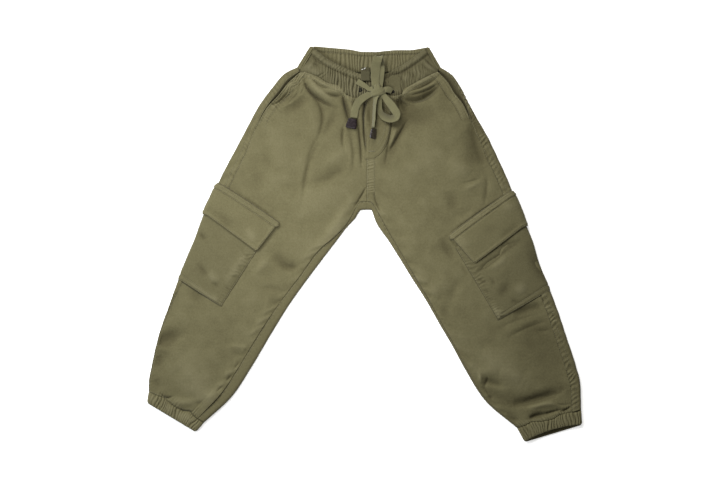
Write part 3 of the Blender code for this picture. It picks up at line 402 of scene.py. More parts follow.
BAND_FOLDS = rows_of(Fold,
    (44, 292, 50, 271, 50, 248, 16, 5.2),
    (-87, 318, -80, 311, -72, 306, 2.0, 1.6),
    (-90, 309, -83, 304, -76, 300, 2.0, 1.3),
    (-83, 281, -75, 286, -67, 291, 2.2, 1.9),
    (-77, 278, -70, 283, -61, 289, 2.2, 1.4),
    (-80, 314, -82, 309, -80, 300, 4.0, 1.0),
    (-98, 300, -84, 290, -66, 282, 3.5, -0.9),
    (-103, 303, -96, 312, -90, 322, 3.0, 0.9),
    (-98, 297, -90, 303, -84, 314, 3.0, -0.8),
    (62, 288, 67, 280, 74, 276, 5.0, -1.5),
    (80, 292, 84, 285, 83, 277, 2.0, 1.2),
    (74, 294, 78, 287, 78, 279, 2.0, 0.9),
    (102, 316, 113, 304, 127, 294, 2.4, 1.3),
    (96, 306, 108, 296, 122, 288, 2.4, 1.1),
    (100, 312, 110, 301, 124, 291, 2.6, -0.9),
    (88, 300, 98, 290, 112, 284, 3.0, 0.7),
)
POCKET_FOLDS = rows_of(Fold,
    # right pocket
    (-284, -32, -274, -46, -268, -58, 6, 1.2),
    (-280, 17, -275, 12, -270, 6, 4.5, 1.4),
    (-262, -88, -254, -96, -248, -100, 6, -1.2),
    (-297, -66, -271, -85, -247, -101, 5, -1.5),
    (-238, -74, -216, -40, -196, -12, 7, -1.0),
    (-266, -48, -257, -58, -248, -66, 7, -1.2),
    (-259, -66, -253, -70, -247, -73, 4, 1.2),
    (-206, -14, -197, -23, -186, -30, 3.5, 0.8),
    (-216, -33, -208, -43, -198, -48, 3.5, 0.8),
    (-226, -52, -218, -60, -207, -66, 3.5, 0.8),
    (-236, -70, -228, -80, -219, -84, 3.5, 0.8),
    # left pocket: the curved crease under the flap, and cross wrinkles along its inner edge
    (193, -48, 216, -32, 231, -20, 3.6, 1.9, 0.1),
    (230, -21, 238, -6, 262, 5, 4.4, 1.5, 0.1),
    (212, -42, 228, -33, 240, -22, 6, -1.2),
    (195, -60, 201, -65, 208, -66, 3.5, 1.0),
    (212, -56, 218, -64, 221, -70, 4.0, 1.0),
    (199, -76, 206, -81, 214, -83, 3.5, 0.9),
    (206, -90, 213, -95, 221, -96, 3.5, 0.8),
    (243, -65, 238, -78, 228, -90, 8, 1.1),
    (270, -66, 266, -78, 262, -86, 9, -1.2),
    (219, -108, 224, -119, 232, -126, 6, -2.2),
    (250, -96, 256, -99, 264, -99, 4.5, 1.1),
    (281, -8, 298, -40, 312, -68, 11, 1.5),
    (196, -43, 230, -20, 271, 9, 5, 1.2),
    (226, -116, 232, -118, 240, -116, 6, -1.0),
)
FLAP_FOLDS = rows_of(Fold,
    (-268, 62, -240, 45, -210, 30, 6, 0.5),
    (-200, 28, -192, 14, -186, 2, 8, -1.0),
    (-245, 45, -236, 30, -226, 20, 10, 0.5),
    (154, 8, 166, 2, 176, -8, 10, -0.9),
    (232, 68, 245, 62, 258, 66, 7, -0.8),
    (230, 8, 246, 20, 262, 30, 7, 0.7),
    (200, 25, 214, 22, 226, 30, 8, 0.4),
)


# ---------------------------------------------------------------- curves and distances
def smooth(knots, values, at):
    """Monotone cubic through (knots, values): it passes every value and never overshoots."""
    knots = np.asarray(knots, float)
    values = np.asarray(values, float)
    step = np.diff(knots)
    slope = np.diff(values) / step
    tangent = np.zeros(len(knots))
    same = slope[:-1] * slope[1:] > 0
    tangent[1:-1][same] = 2 * (slope[:-1] * slope[1:])[same] / (slope[:-1] + slope[1:])[same]
    tangent[0], tangent[-1] = slope[0], slope[-1]
    at = np.clip(np.asarray(at, float), knots[0], knots[-1])
    i = np.clip(np.searchsorted(knots, at, side="right") - 1, 0, len(step) - 1)
    u = (at - knots[i]) / step[i]
    return ((1 + 2 * u) * (1 - u) ** 2 * values[i] + u * (1 - u) ** 2 * step[i] * tangent[i]
            + u * u * (3 - 2 * u) * values[i + 1] - u * u * (1 - u) * step[i] * tangent[i + 1])


def read(table, place, value, at):
    """One column of a table against another."""
    return smooth([getattr(row, place) for row in table], [getattr(row, value) for row in table], at)


def column(rows, name, at):
    """One named column of a table, smoothed over its stations; inner edges turn at the crotch."""
    at = np.asarray(at, float)
    values = [getattr(row, name) for row in rows]
    if not name.startswith(("front", "back")):
        return smooth(range(len(rows)), values, at)
    above = smooth(range(CROTCH + 1), values[:CROTCH + 1], at)
    below = smooth(range(CROTCH, len(rows)), values[CROTCH:], at)
    return np.where(at < CROTCH, above, below)


def path(rows, name, at):
    return np.stack([column(rows, name + "_x", at), column(rows, name + "_y", at)], axis=-1)


def inward(rows, name, at, towards):
    """Unit normals of an edge, on the side of the given points."""
    at = np.asarray(at, float)
    low = CROTCH if name == "back" else 0
    at = np.maximum(at, low)
    before = path(rows, name, np.clip(at - 0.1, low, LAST))
    after = path(rows, name, np.clip(at + 0.1, low, LAST))
    along = after - before
    normal = unit(np.stack([-along[..., 1], along[..., 0]], axis=-1))
    side = np.sign(np.sum(normal * (towards - path(rows, name, at)), axis=-1, keepdims=True))
    return normal * side


def nearest_on(points, line):
    """For each point: distance to a polyline, share of its length there, and the side."""
    flat = points.reshape(-1, 1, 2)
    start, run = line[:-1], np.diff(line, axis=0)
    squares = np.maximum(np.sum(run * run, axis=-1), 1e-9)
    along = np.clip(np.sum((flat - start) * run, axis=-1) / squares, 0, 1)
    gap = flat - start - along[..., None] * run
    far = np.linalg.norm(gap, axis=-1)
    best = far.argmin(axis=1)
    pick = np.arange(len(best))
    side = np.sign(run[best, 0] * gap[pick, best, 1] - run[best, 1] * gap[pick, best, 0])
    share = (best + along[pick, best]) / len(run)
    shape = points.shape[:-1]
    return far[pick, best].reshape(shape), share.reshape(shape), side.reshape(shape)


def distance(points, line):
    """Distance from each point to a polyline, in blocks that keep the arrays small."""
    flat = np.asarray(points, float).reshape(-1, 2)
    found = [nearest_on(block, line)[0] for block in np.array_split(flat, 1 + len(flat) // 8000)]
    return np.concatenate(found).reshape(np.shape(points)[:-1])


def side_line(rows, cuff, corner):
    stations = path(rows, "side", np.linspace(0, LAST, 81))
    return np.vstack([[corner], stations, [(cuff.outer_x, cuff.outer_y)]])


def inner_line():
    at = np.linspace(LAST, CROTCH, 61)
    right, left = path(RIGHT_LEG, "back", at), path(LEFT_LEG, "back", at)
    return np.vstack([[(RIGHT_CUFF.inner_x, RIGHT_CUFF.inner_y)], right,
                      left[::-1][1:], [(LEFT_CUFF.inner_x, LEFT_CUFF.inner_y)]])


RIGHT_CORNER = np.array([WAIST[0].x, WAIST[0].back_y])
LEFT_CORNER = np.array([WAIST[-1].x, WAIST[-1].back_y])
RIGHT_SIDE = side_line(RIGHT_LEG, RIGHT_CUFF, RIGHT_CORNER)
LEFT_SIDE = side_line(LEFT_LEG, LEFT_CUFF, LEFT_CORNER)
INNER_FOLD = inner_line()


def run_along(line):
    """Length travelled at each point of a line."""
    steps = np.linalg.norm(np.diff(line, axis=0), axis=1)
    return np.concatenate([[0], np.cumsum(steps)])


def until(value, limit, softness):
    """1 below the limit, 0 past it."""
    return 1 / (1 + np.exp(np.clip((value - limit) / softness, -30, 30)))


def bell(value, centre, width):
    return np.exp(-((value - centre) / width) ** 2)


def fading(away, reach):
    return np.exp(-away / reach)


def eased(count, crowding):
    """0 to 1 in steps that are shorter at both ends."""
    u = np.linspace(0, 1, count)
    return u - crowding * np.sin(2 * np.pi * u) / (2 * np.pi)


def raised(plan, level):
    """Plan points with their level as the third number."""
    return np.concatenate([plan, level[..., None]], axis=-1)


def unit(vectors):
    return vectors / np.linalg.norm(vectors, axis=-1, keepdims=True)


# ---------------------------------------------------------------- the laid form
def rolled(inset):
    left_over = FOLD_RADIUS - np.clip(inset, 0, FOLD_RADIUS)
    return FOLD_RADIUS + np.sqrt(FOLD_RADIUS ** 2 - left_over ** 2)


def rise(inset):
    return 1 - fading(np.clip(inset - FOLD_RADIUS, 0, None), LOFT_REACH)


def folded(points, folds):
    """How far the folds lower each point: tapered at their ends, steeper on one side."""
    lowered = np.zeros(points.shape[:-1])
    bend = np.linspace(0, 1, 10)[:, None]
    for fold in folds:
        ends = np.array([[fold.x0, fold.y0], [fold.x2, fold.y2]], float)
        middle = 2 * np.array([fold.x1, fold.y1]) - ends.mean(axis=0)
        line = (1 - bend) ** 2 * ends[0] + 2 * bend * (1 - bend) * middle + bend ** 2 * ends[1]
        reach = 3 * fold.width
        near = np.all((points > line.min(0) - reach) & (points < line.max(0) + reach), axis=-1)
        if near.any():
            gap, share, side = nearest_on(points[near], line)
            across = gap / (fold.width * (1 + fold.lean * side))
            taper = np.sin(np.pi * np.clip(share, 0.03, 0.97)) ** 0.7
            crisp = until(fold.width, CRISP_WIDTH, 0.6) * (fold.depth > 0)
            crease = np.exp(-1.6 * (np.sqrt(across ** 2 + 0.02) - 0.14))
            profile = crisp * crease + (1 - crisp) * np.exp(-across ** 2)
            lowered[near] += FOLD_SCALE * fold.depth * taper * profile
    return lowered


def waves(points, seed, shortest, longest, count):
    """A seeded sum of even waves in all directions, about -1 to 1."""
    draw = np.random.default_rng(int(seed))
    total = np.zeros(points.shape[:-1])
    for _ in range(count):
        turn, phase = draw.uniform(0, 2 * np.pi, 2)
        number = 2 * np.pi / draw.uniform(shortest, longest)
        total += np.sin(number * (points[..., 0] * np.cos(turn) + points[..., 1] * np.sin(turn)) + phase)
    return total / np.sqrt(count)


def height(points):
    """Top of the laid cloth over each (x, y) point."""
    points = np.asarray(points, float)
    outer = np.minimum(distance(points, RIGHT_SIDE), distance(points, LEFT_SIDE))
    inner = distance(points, INNER_FOLD)
    full = read(LOFTS, "y", "height", points[..., 1])
    within = rise(outer) * rise(inner)
    return rolled(np.minimum(outer, inner)) + (full - 2 * FOLD_RADIUS) * within


def on_cloth(points, lift=0.0):
    points = np.asarray(points, float)
    return raised(points, height(points) + lift)


def puckers(run, pitch, seed):
    """Uneven small waves along a stitched line, -1 to 1."""
    drift = (0.36 * np.sin(run / (3.7 * pitch) + seed) + 0.30 * np.sin(run / (1.9 * pitch) + 2.3 * seed)
             + 0.16 * np.sin(run / (0.8 * pitch) + 4.1 * seed))
    strength = 0.6 + 0.4 * np.sin(run / (2.3 * pitch) + 1.7 * seed) * np.sin(run / (1.1 * pitch) + 3 * seed)
    return strength * np.sin(2 * np.pi * (run / pitch + drift))


def gather_turns(share, count):
    """The gathers' phase along an elastic, in turns."""
    drift = 0.3 * np.sin(2 * np.pi * 3.1 * share) + 0.15 * np.sin(2 * np.pi * 7.3 * share + 1)
    return count * share + drift


def ribs(turns, seed=0.0):
    """Round puffs between sharp valleys, -1 to 1, no two of one size."""
    size = 0.8 + 0.2 * np.sin(2.4 * turns + seed) * np.sin(1.1 * turns + 2 * seed)
    return size * (2 * np.abs(np.sin(np.pi * (turns + 0.25))) ** 0.75 - 1)


def edge_turn(inset):
    """How far the cloth has turned down, this far in from its edge."""
    out = np.clip(1 - inset / EDGE_ROUND, 0, 1)
    return EDGE_DROP * (1 - np.sqrt(1 - out ** 2 * 0.98))


# ---------------------------------------------------------------- making meshes
def grid_faces(rows, columns, closed_rows=False, closed_columns=False):
    index = np.arange(rows * columns).reshape(rows, columns)
    if closed_rows:
        index = np.vstack([index, index[:1]])
    if closed_columns:
        index = np.hstack([index, index[:, :1]])
    return np.stack([index[:-1, :-1], index[1:, :-1], index[1:, 1:], index[:-1, 1:]], axis=-1).reshape(-1, 4)


def link(name, mesh):
    made = bpy.data.objects.new(name, mesh)
    bpy.context.scene.collection.objects.link(made)
    return made


def keep(mesh, name, kind, values):
    """A named value for each vertex, for the materials."""
    kept = mesh.attributes.new(name, kind, "POINT").data
    kept.foreach_set("value" if kind == "FLOAT" else "vector", np.asarray(values, np.float32).reshape(-1))


def sheet_object(name, points, relief, facing, closed_rows=False, closed_columns=False):
    """A smooth mesh on a grid of points, less those that are nan; its relief is kept for the colour, which
    paints shade in its troughs and wear and light on its crests.

    It faces up (1), down (-1) or, where it is closed, outwards (0).
    """
    rows, columns = points.shape[:2]
    faces = grid_faces(rows, columns, closed_rows, closed_columns)
    flat = points.reshape(-1, 3)
    whole = ~np.isnan(flat[:, 0])
    faces = faces[whole[faces].all(axis=1)]
    number = np.cumsum(whole) - 1
    mesh = bpy.data.meshes.new(name)
    mesh.from_pydata((flat[whole] * MM).tolist(), [], number[faces].tolist())
    keep(mesh, "relief", "FLOAT", relief.reshape(-1)[whole])
    bm = bmesh.new()
    bm.from_mesh(mesh)
    if closed_columns and not closed_rows:
        bmesh.ops.holes_fill(bm, edges=bm.edges, sides=0)
    if facing == 0:
        bmesh.ops.recalc_face_normals(bm, faces=bm.faces)
    elif facing * sum(face.normal.z * face.calc_area() for face in bm.faces) < 0:
        bmesh.ops.reverse_faces(bm, faces=bm.faces)
    bm.to_mesh(mesh)
    bm.free()
    mesh.shade_smooth()
    return link(name, mesh)


def shell(name, points, relief, wall, facing=1, inside=1.0):
    """A sheet with a wall; inside is the share of the hidden face's triangles that stays."""
    made = sheet_object(name, points, relief, facing)
    solidify = made.modifiers.new("wall", "SOLIDIFY")
    solidify.thickness = wall * MM
    solidify.offset = -1
    if inside < 1:
        solidify.shell_vertex_group = made.vertex_groups.new(name="inside").name
        coarser = made.modifiers.new("coarser inside", "DECIMATE")
        coarser.ratio = (1 + inside) / 2
        coarser.vertex_group = "inside"
    return made


# ---------------------------------------------------------------- legs
def leg_rows(rows, top_pitch, leg_pitch):
    """Stations evenly spaced down to the crotch and from it to the cuff."""
    parts = []
    for start, end, pitch in ((0, CROTCH, top_pitch), (CROTCH, LAST, leg_pitch)):
        fine = np.linspace(start, end, 300)
        run = run_along((path(rows, "front", fine) + path(rows, "side", fine)) / 2)
        parts.append(np.interp(np.linspace(0, run[-1], int(run[-1] / pitch)), run, fine))
    return np.concatenate([parts[0], parts[1][1:]])


def wander(rows, share):
    """How far up the leg the cuff's seam is, off its straight line."""
    table = RIGHT_WANDER if rows is RIGHT_LEG else LEFT_WANDER
    return read(table, "share", "up", share)


def reach_cuff(rows, at, points):
    """The last rows drawn down so that they end on the cuff's seam."""
    last = rows[-1]
    corner, side = np.array([last.back_x, last.back_y]), np.array([last.side_x, last.side_y])
    along = unit(side - corner)
    down = np.array([-along[1], along[0]]) * np.sign(along[0])
    down *= -np.sign(down[1])
    short = np.sum((corner - points[-1]) * down, axis=-1)
    short -= wander(rows, np.sum((points[-1] - corner) * along, axis=-1) / np.linalg.norm(side - corner))
    drawn = np.clip((at - CUFF_REACH) / (LAST - CUFF_REACH), 0, 1) ** 2
    return points + drawn.reshape(-1, *[1] * (points.ndim - 1)) * short[..., None] * down


def front_edges(rows, at, inset_name, trim):
    inner = path(rows, "front", at)
    side = path(rows, "side", at)
    normal = inward(rows, "side", at, inner)
    outer = side + normal * (column(rows, inset_name, at) + trim)[..., None]
    return inner - unit(outer - inner) * BUTT_LAP, outer


def sag(at, x):
    fade = np.clip(1 - np.asarray(at) / SAG_ENDS, 0, 1) ** 1.5
    return fade * read(SAGS, "x", "drop", x)


def front_points(rows, at, across):
    inner, outer = front_edges(rows, at, "mouth", -BUTT_LAP)
    points = inner[:, None] + (outer - inner)[:, None] * across[None, :, None]
    points[..., 1] -= sag(at[:, None], points[..., 0])
    return reach_cuff(rows, at, points) if at[-1] == LAST else points


def mouth_lift(at):
    opened = np.clip(1 - at / MOUTH_STATION, 0, 1)
    return MOUTH_LIFT * (np.sin(np.pi * opened ** 0.8) ** 0.6 + 0.3 * opened)


def waist_seam():
    at = np.array([0.0])
    across = eased(15, 0.2)
    right = front_points(RIGHT_LEG, at, across)[0][::-1]
    left = front_points(LEFT_LEG, at, across)[0]
    return np.vstack([strip_edge(RIGHT_LEG), right, left, strip_edge(LEFT_LEG)])


def strip_edge(rows):
    return front_edges(rows, np.array([0.0]), "strip", SEAM_GAP / 2)[1]


WAIST_SEAM = waist_seam()
BAND_ENDS = (WAIST_SEAM[0, 0] - END_LAP, WAIST_SEAM[-1, 0] + END_LAP)


def seam_y(x):
    return np.interp(x, WAIST_SEAM[:, 0], WAIST_SEAM[:, 1])


def below_waist(points):
    """How far each point is below the waist seam."""
    return seam_y(points[..., 0]) - points[..., 1]


CLUSTERS = ((0.14, 0.07), (0.48, 0.075), (0.77, 0.11))    # where the right cuff's gathers crowd, and how wide


def cuff_clusters(rows, share):
    """1 where the cuff's gathers crowd, lower where the cloth puffs out."""
    if rows is LEFT_LEG:
        return 0.85 + 0.15 * np.sin(2 * np.pi * (2.4 * share + 0.1))
    return 0.12 + 0.88 * sum(bell(share, place, width) for place, width in CLUSTERS)


# What differs between the legs: the hip pocket's puckers and hem groove, the ripples and the felled
# strip beside the outseam, and how far the flap's inner edge is down.
Manner = namedtuple("Manner", "mouth_pucker hem_groove ripple ripple_pitch felled flap_drop")
RIGHT_MANNER = Manner(1.0, 0.5, 0.75, 6.0, 10.5, -1.0)
LEFT_MANNER = Manner(0.22, 1.2, 1.15, 7.8, 12.5, 1.7)


def manner_of(rows):
    return LEFT_MANNER if rows is LEFT_LEG else RIGHT_MANNER


def cloth_waves(points):
    return (0.22 * waves(points, 11, 50, 120, 12) + 0.14 * waves(points, 12, 18, 34, 14)
            + 0.05 * waves(points, 13, 7, 12, 16))


def add_mouth(relief, plan, mouth, down, from_outer, run_out, manner, seed):
    """The slant pocket's hem, with the puckers along it near the waist and across it below."""
    hem = mouth * until(from_outer, HEM_WIDTH, 0.9)
    spread = mouth * until(from_outer, MOUTH_PUCKER, 3.5) * (0.55 + 0.45 * hem)
    high = until(down, 2.3, 0.2)
    lengthwise = puckers(from_outer + 2.2 * waves(plan, 61, 12, 36, 7), 5.4, seed)
    crosswise = puckers(run_out - 0.45 * from_outer + waves(plan, 62, 9, 24, 6), 5.6, seed)
    relief += manner.mouth_pucker * spread * (high * lengthwise + (1 - high) * crosswise)
    relief += 0.5 * hem - manner.hem_groove * mouth * bell(from_outer, HEM_WIDTH, 1.4)
    relief -= 0.5 * mouth * bell(from_outer, 3.2, 1.2)


def add_gathers(relief, plan, under, above, across, rows, seed):
    """The gathers that run out of the waistband, its seam allowance, and the cuff's gathers."""
    turns = band_turns(plan[..., 0])
    reach = 5 + 8 * (0.5 + 0.5 * np.sin(1.7 * turns + seed)) * (0.5 + 0.5 * np.sin(0.61 * turns))
    relief += band_crowd(plan[..., 0]) * ribs(turns) * fading(np.clip(under, 0, None), reach)
    relief += 0.6 * until(under, ALLOWANCE, 0.8) - 0.5 * bell(under, ALLOWANCE, 1.5)
    turns = gather_turns(across[None, :], CUFF_GATHERS)
    reach = 6 + 9 * (0.5 + 0.5 * np.sin(2.1 * turns + seed))
    relief += 0.9 * ribs(turns, seed) * cuff_clusters(rows, across)[None, :] * fading(above, reach)


def front(name, rows, seed):
    """A front: folds, puckered seams, the slant pocket's hem, gathers at waist and cuff."""
    left = rows is LEFT_LEG
    at = leg_rows(rows, TOP_PITCH, LEG_PITCH)
    across = eased(FRONT_COLUMNS, 0.4)
    plan = front_points(rows, at, across)
    inner, outer = front_edges(rows, at, "mouth", 0)
    width = np.linalg.norm(outer - inner, axis=1)[:, None]
    from_inner, from_outer = width * across, width * (1 - across)
    run_in, run_out = run_along(inner)[:, None], run_along(outer)[:, None]
    down = at[:, None]
    mouth = np.clip((MOUTH_STATION - down) / 0.3, 0, 1)
    folds = folded(plan, FOLDS)
    relief = cloth_waves(plan) - folds
    add_mouth(relief, plan, mouth, down, from_outer, run_out, manner_of(rows), seed)
    seam_waves = puckers(run_out + 0.3 * from_outer, SEAM_WAVE, seed + 1)
    relief += 0.35 * (1 - mouth) * seam_waves * fading(from_outer, 5)
    inseam = np.clip((down - CROTCH) / 1.5, 0, 1)
    relief += inseam * 0.30 * puckers(run_in + 0.3 * from_inner, 6.1, seed + 2) * fading(from_inner, 5)
    relief += inseam * 0.55 * puckers(run_in - 0.5 * from_inner, 26.0, seed + 3) * bell(from_inner, 5, 10)
    under = below_waist(plan)
    above = run_along((inner + outer) / 2)
    above = (above[-1] - above)[:, None]
    add_gathers(relief, plan, under, above, across, rows, seed)
    if left:
        crotch = np.clip((plan[..., 1] - 84) / 6, 0, 1) * np.clip((150 - plan[..., 1]) / 8, 0, 1)
        strip = until(from_inner, 13, 0.8)
        relief += crotch * strip * (0.5 + 0.65 * puckers(run_in, 4.6, seed + 4))
    edges = np.minimum(np.minimum(from_inner, from_outer), np.minimum(np.clip(under, 0, None), above))
    near_fold = np.minimum(distance(plan, INNER_FOLD),
                           distance(plan, LEFT_SIDE if left else RIGHT_SIDE))
    relief *= np.clip((near_fold + 1.5) / 8, 0, 1)
    points = on_cloth(plan)
    points[..., 2] += relief - edge_turn(edges)
    points[..., 2] += 1.25 * mouth_lift(at)[:, None] * fading(from_outer, MOUTH_SOFTNESS) * (mouth > 0)
    points[..., 2] = np.maximum(points[..., 2], 2 * TWILL + 0.4)
    # The colour's relief keeps part of each fold as painted shade, and a painted shade line where the edge
    # turns down.
    made = shell(name, points, relief + FOLD_UNPAINTED * folds - 1.6 * edge_turn(edges), TWILL, inside=0.12)
    return made, plan, from_inner, from_outer, at


def curb(line, normal, seam, strip_relief, columns=STRIP_COLUMNS):
    """A strip from its seam on top, round the fold, down to the floor; with its relief."""
    width = np.linalg.norm(seam - line, axis=-1)
    first = FOLD_RADIUS * (1 - np.cos(FIRST_CURB))
    sections, reliefs = [], []
    for share in np.linspace(1, 0, columns, endpoint=False) ** 1.15:
        inset = first + (width - first) * share
        beyond = np.clip((inset - FOLD_RADIUS) / np.maximum(width - FOLD_RADIUS, 0.1), 0, 1)
        base = line + normal * np.minimum(inset, FOLD_RADIUS)[..., None]
        plan = base + (seam - base) * beyond[..., None]
        relief = strip_relief(plan, width - inset)
        section = on_cloth(plan)
        dip = STRIP_DIP * fading(width - inset, 2.0)
        section[..., 2] = np.maximum(section[..., 2] + relief - dip, TWILL + 0.2)
        sections.append(section)
        # Painted shade in the colour: darker in the seam's dip and towards the fold.
        reliefs.append(relief - dip - 0.8 * fading(inset, 4.0))
    for angle in np.linspace(FIRST_CURB, -np.pi / 2, FOLD_COLUMNS):
        relief = strip_relief(line, width) * np.clip(np.cos(angle), 0, 1) * 0.5
        radius = FOLD_RADIUS + np.clip(relief, -0.6, 0.3) * (angle > -1.2)
        plan = line + normal * (FOLD_RADIUS - radius * np.cos(angle))[..., None]
        level = FOLD_RADIUS + radius * np.sin(angle)
        sections.append(raised(plan, np.maximum(level, 0)))
        # The rounded side fold is painted darker: painted shade.
        reliefs.append(relief - 0.8)
    return np.stack(sections, axis=1), np.stack(reliefs, axis=1)


def back(name, rows, seed):
    """A back: its strips that show beside the front, the folds, and the panel on the floor."""
    manner = manner_of(rows)
    at = leg_rows(rows, LEG_PITCH, LEG_PITCH)
    front_edge = reach_cuff(rows, at, path(rows, "front", at))
    side, inner = path(rows, "side", at), path(rows, "back", at)
    side_normal = inward(rows, "side", at, front_edge)
    seam = side + side_normal * (column(rows, "strip", at) + STRIP_LAP)[..., None]
    seam = reach_cuff(rows, at, seam)
    run_out, run_in = run_along(seam), run_along(inner)
    pocket = LEFT_POCKET if rows is LEFT_LEG else RIGHT_POCKET
    bare = 1 - np.clip(4 * (at - pocket.start), 0, 1) * np.clip(4 * (pocket.end - at), 0, 1)

    def outseam_relief(plan, from_seam):
        felled = until(from_seam, manner.felled, 1.6)
        uneven = waves(plan, 41, 12, 34, 8)
        ripple = puckers(run_out + 0.35 * from_seam + 1.2 * uneven, manner.ripple_pitch, seed)
        slow = puckers(run_out - from_seam, 23, seed + 1) * (0.3 + 0.7 * bare)
        ripple *= np.clip(0.8 + 0.35 * waves(plan, 42, 16, 50, 8), 0.3, 1.2) * bare
        return (manner.ripple * (ripple * felled + 0.35 * felled + 0.45 * slow)
                - folded(plan, FOLDS) * 0.6 - 0.4 * bell(from_seam, 9.5, 1.3))

    def inseam_relief(plan, from_seam):
        felled = until(from_seam, 6.5, 1.0)
        return felled * 0.55 * puckers(run_in + 0.3 * from_seam + waves(plan, 43, 10, 28, 6), 6.4, seed + 2)

    outer_curb, outer_relief = curb(side, side_normal, seam, outseam_relief)
    parted = at >= CROTCH
    inner_normal = inward(rows, "back", at, front_edge)
    out = unit(inner - front_edge)
    inner_curb, inner_relief = curb(inner, inner_normal, front_edge - out * STRIP_LAP, inseam_relief, 9)
    sign = np.sign(side[0, 0])
    centre = inner - np.array([sign * BUTT_LAP, 0])
    inner_curb[~parted] = np.nan
    inner_curb[~parted, -1, :2] = centre[~parted]
    inner_curb[~parted, -1, 2] = 0
    inner_curb[at == CROTCH, :, 0] -= sign * BUTT_LAP
    across = np.linspace(0, 1, FLOOR_COLUMNS + 2)[1:-1]
    start, end = inner_curb[:, -1:], outer_curb[:, -1:]
    floor = start + (end - start) * across[None, :, None]
    creases = np.clip(waves(floor[..., :2] * [1, 0.6], 21 + seed, 24, 70, 12) - 0.35, 0, 2) ** 1.5
    floor[..., 2] += 1.1 * creases * np.sin(np.pi * across)[None, :] ** 0.5
    points = np.concatenate([inner_curb, floor, outer_curb[:, ::-1]], axis=1)
    flat = slice(inner_curb.shape[1] - 1, inner_curb.shape[1] + FLOOR_COLUMNS)
    for row in np.flatnonzero(~parted)[::-1]:    # the crotch's fold takes the room just above it
        points[row, flat, 1] = np.maximum(points[row, flat, 1], points[row + 1, flat, 1] + LEAST_STEP)
    relief = np.concatenate([inner_relief, -0.5 * creases, outer_relief[:, ::-1]], axis=1)
    return shell(name, points, relief, TWILL, facing=-1), at, seam, side_normal, front_edge, out


FACING_DROPS = (0.0, 2.4, 4.6, 4.8, 4.8)    # from the strip's edge to under the front, times MOUTH_DROP


def hip_facing(name, rows, seed):
    at = np.linspace(0.12, MOUTH_STATION + 0.15, 90)
    inner = path(rows, "front", at)
    side = path(rows, "side", at)
    normal = inward(rows, "side", at, inner)
    start = column(rows, "strip", at) + SEAM_GAP
    end = np.maximum(column(rows, "mouth", at), start + 1)
    knots = np.stack([start, start + 0.5 * (end - start), end,
                      end + 0.5 * MOUTH_UNDERLAP, end + MOUTH_UNDERLAP], axis=1)
    share = np.linspace(0, 4, 15)
    insets = np.stack([np.interp(share, range(5), row) for row in knots])
    drops = np.interp(share, range(5), FACING_DROPS) * MOUTH_DROP
    points = on_cloth(side[:, None] + normal[:, None] * insets[..., None])
    relief = 0.25 * puckers(run_along(side)[:, None] + insets, 9, seed) * np.ones_like(insets)
    relief *= np.clip(1 - share / 2, 0, 1)
    points[..., 2] += relief - drops[None, :]
    # The colour is painted darker as the facing drops under the pocket's mouth: painted shade.
    return shell(name, points, relief - drops[None, :], TWILL)


# ---------------------------------------------------------------- waistband
def waist_table(name, x):
    return read(WAIST, "x", name, x)


def fold_frame(rows, corner):
    low = np.array([rows[0].side_x, rows[0].side_y])
    along = unit(corner - low)
    normal = np.array([along[1], -along[0]]) * -np.sign(low[0])
    return low - along * SIDE_LAP, corner, normal


RIGHT_BAND_SEAM = (9.2, 7.4)    # how far the band's side seams are inside the folds, low and top
LEFT_BAND_SEAM = (6.0, 6.2)
BAND_TOPS = (6.6, 5.6)
BAND_STEPS = 640                # across the front run
ROLL_DEPTH = 9.5                # how far down the front run its rolled edge reaches
BACK_STEPS = 15                 # for each of the back run's gathers
BACK_HEM = 0.79                 # how far up the back run its stitched hem begins


def band_turns(x):
    """The ribs' phase along the front run, about one rib every 4.7 mm."""
    return x / 4.7 + 0.35 * np.sin(x / 9.1) + 0.2 * np.sin(x / 4.3 + 1)


Crowd = namedtuple("Crowd", "x depth")
CROWDS = rows_of(Crowd, (-105, 0.15), (-92, 0.35), (-75, 0.3), (-66, 0.5), (-58, 0.95), (56, 0.95), (62, 0.7),
                 (68, 0.25), (80, 0.35), (118, 0.15))


def band_crowd(x):
    """How deep the ribs are along the front run: crowded in the middle, flat at the ends."""
    return np.interp(x, [crowd.x for crowd in CROWDS], [crowd.depth for crowd in CROWDS])


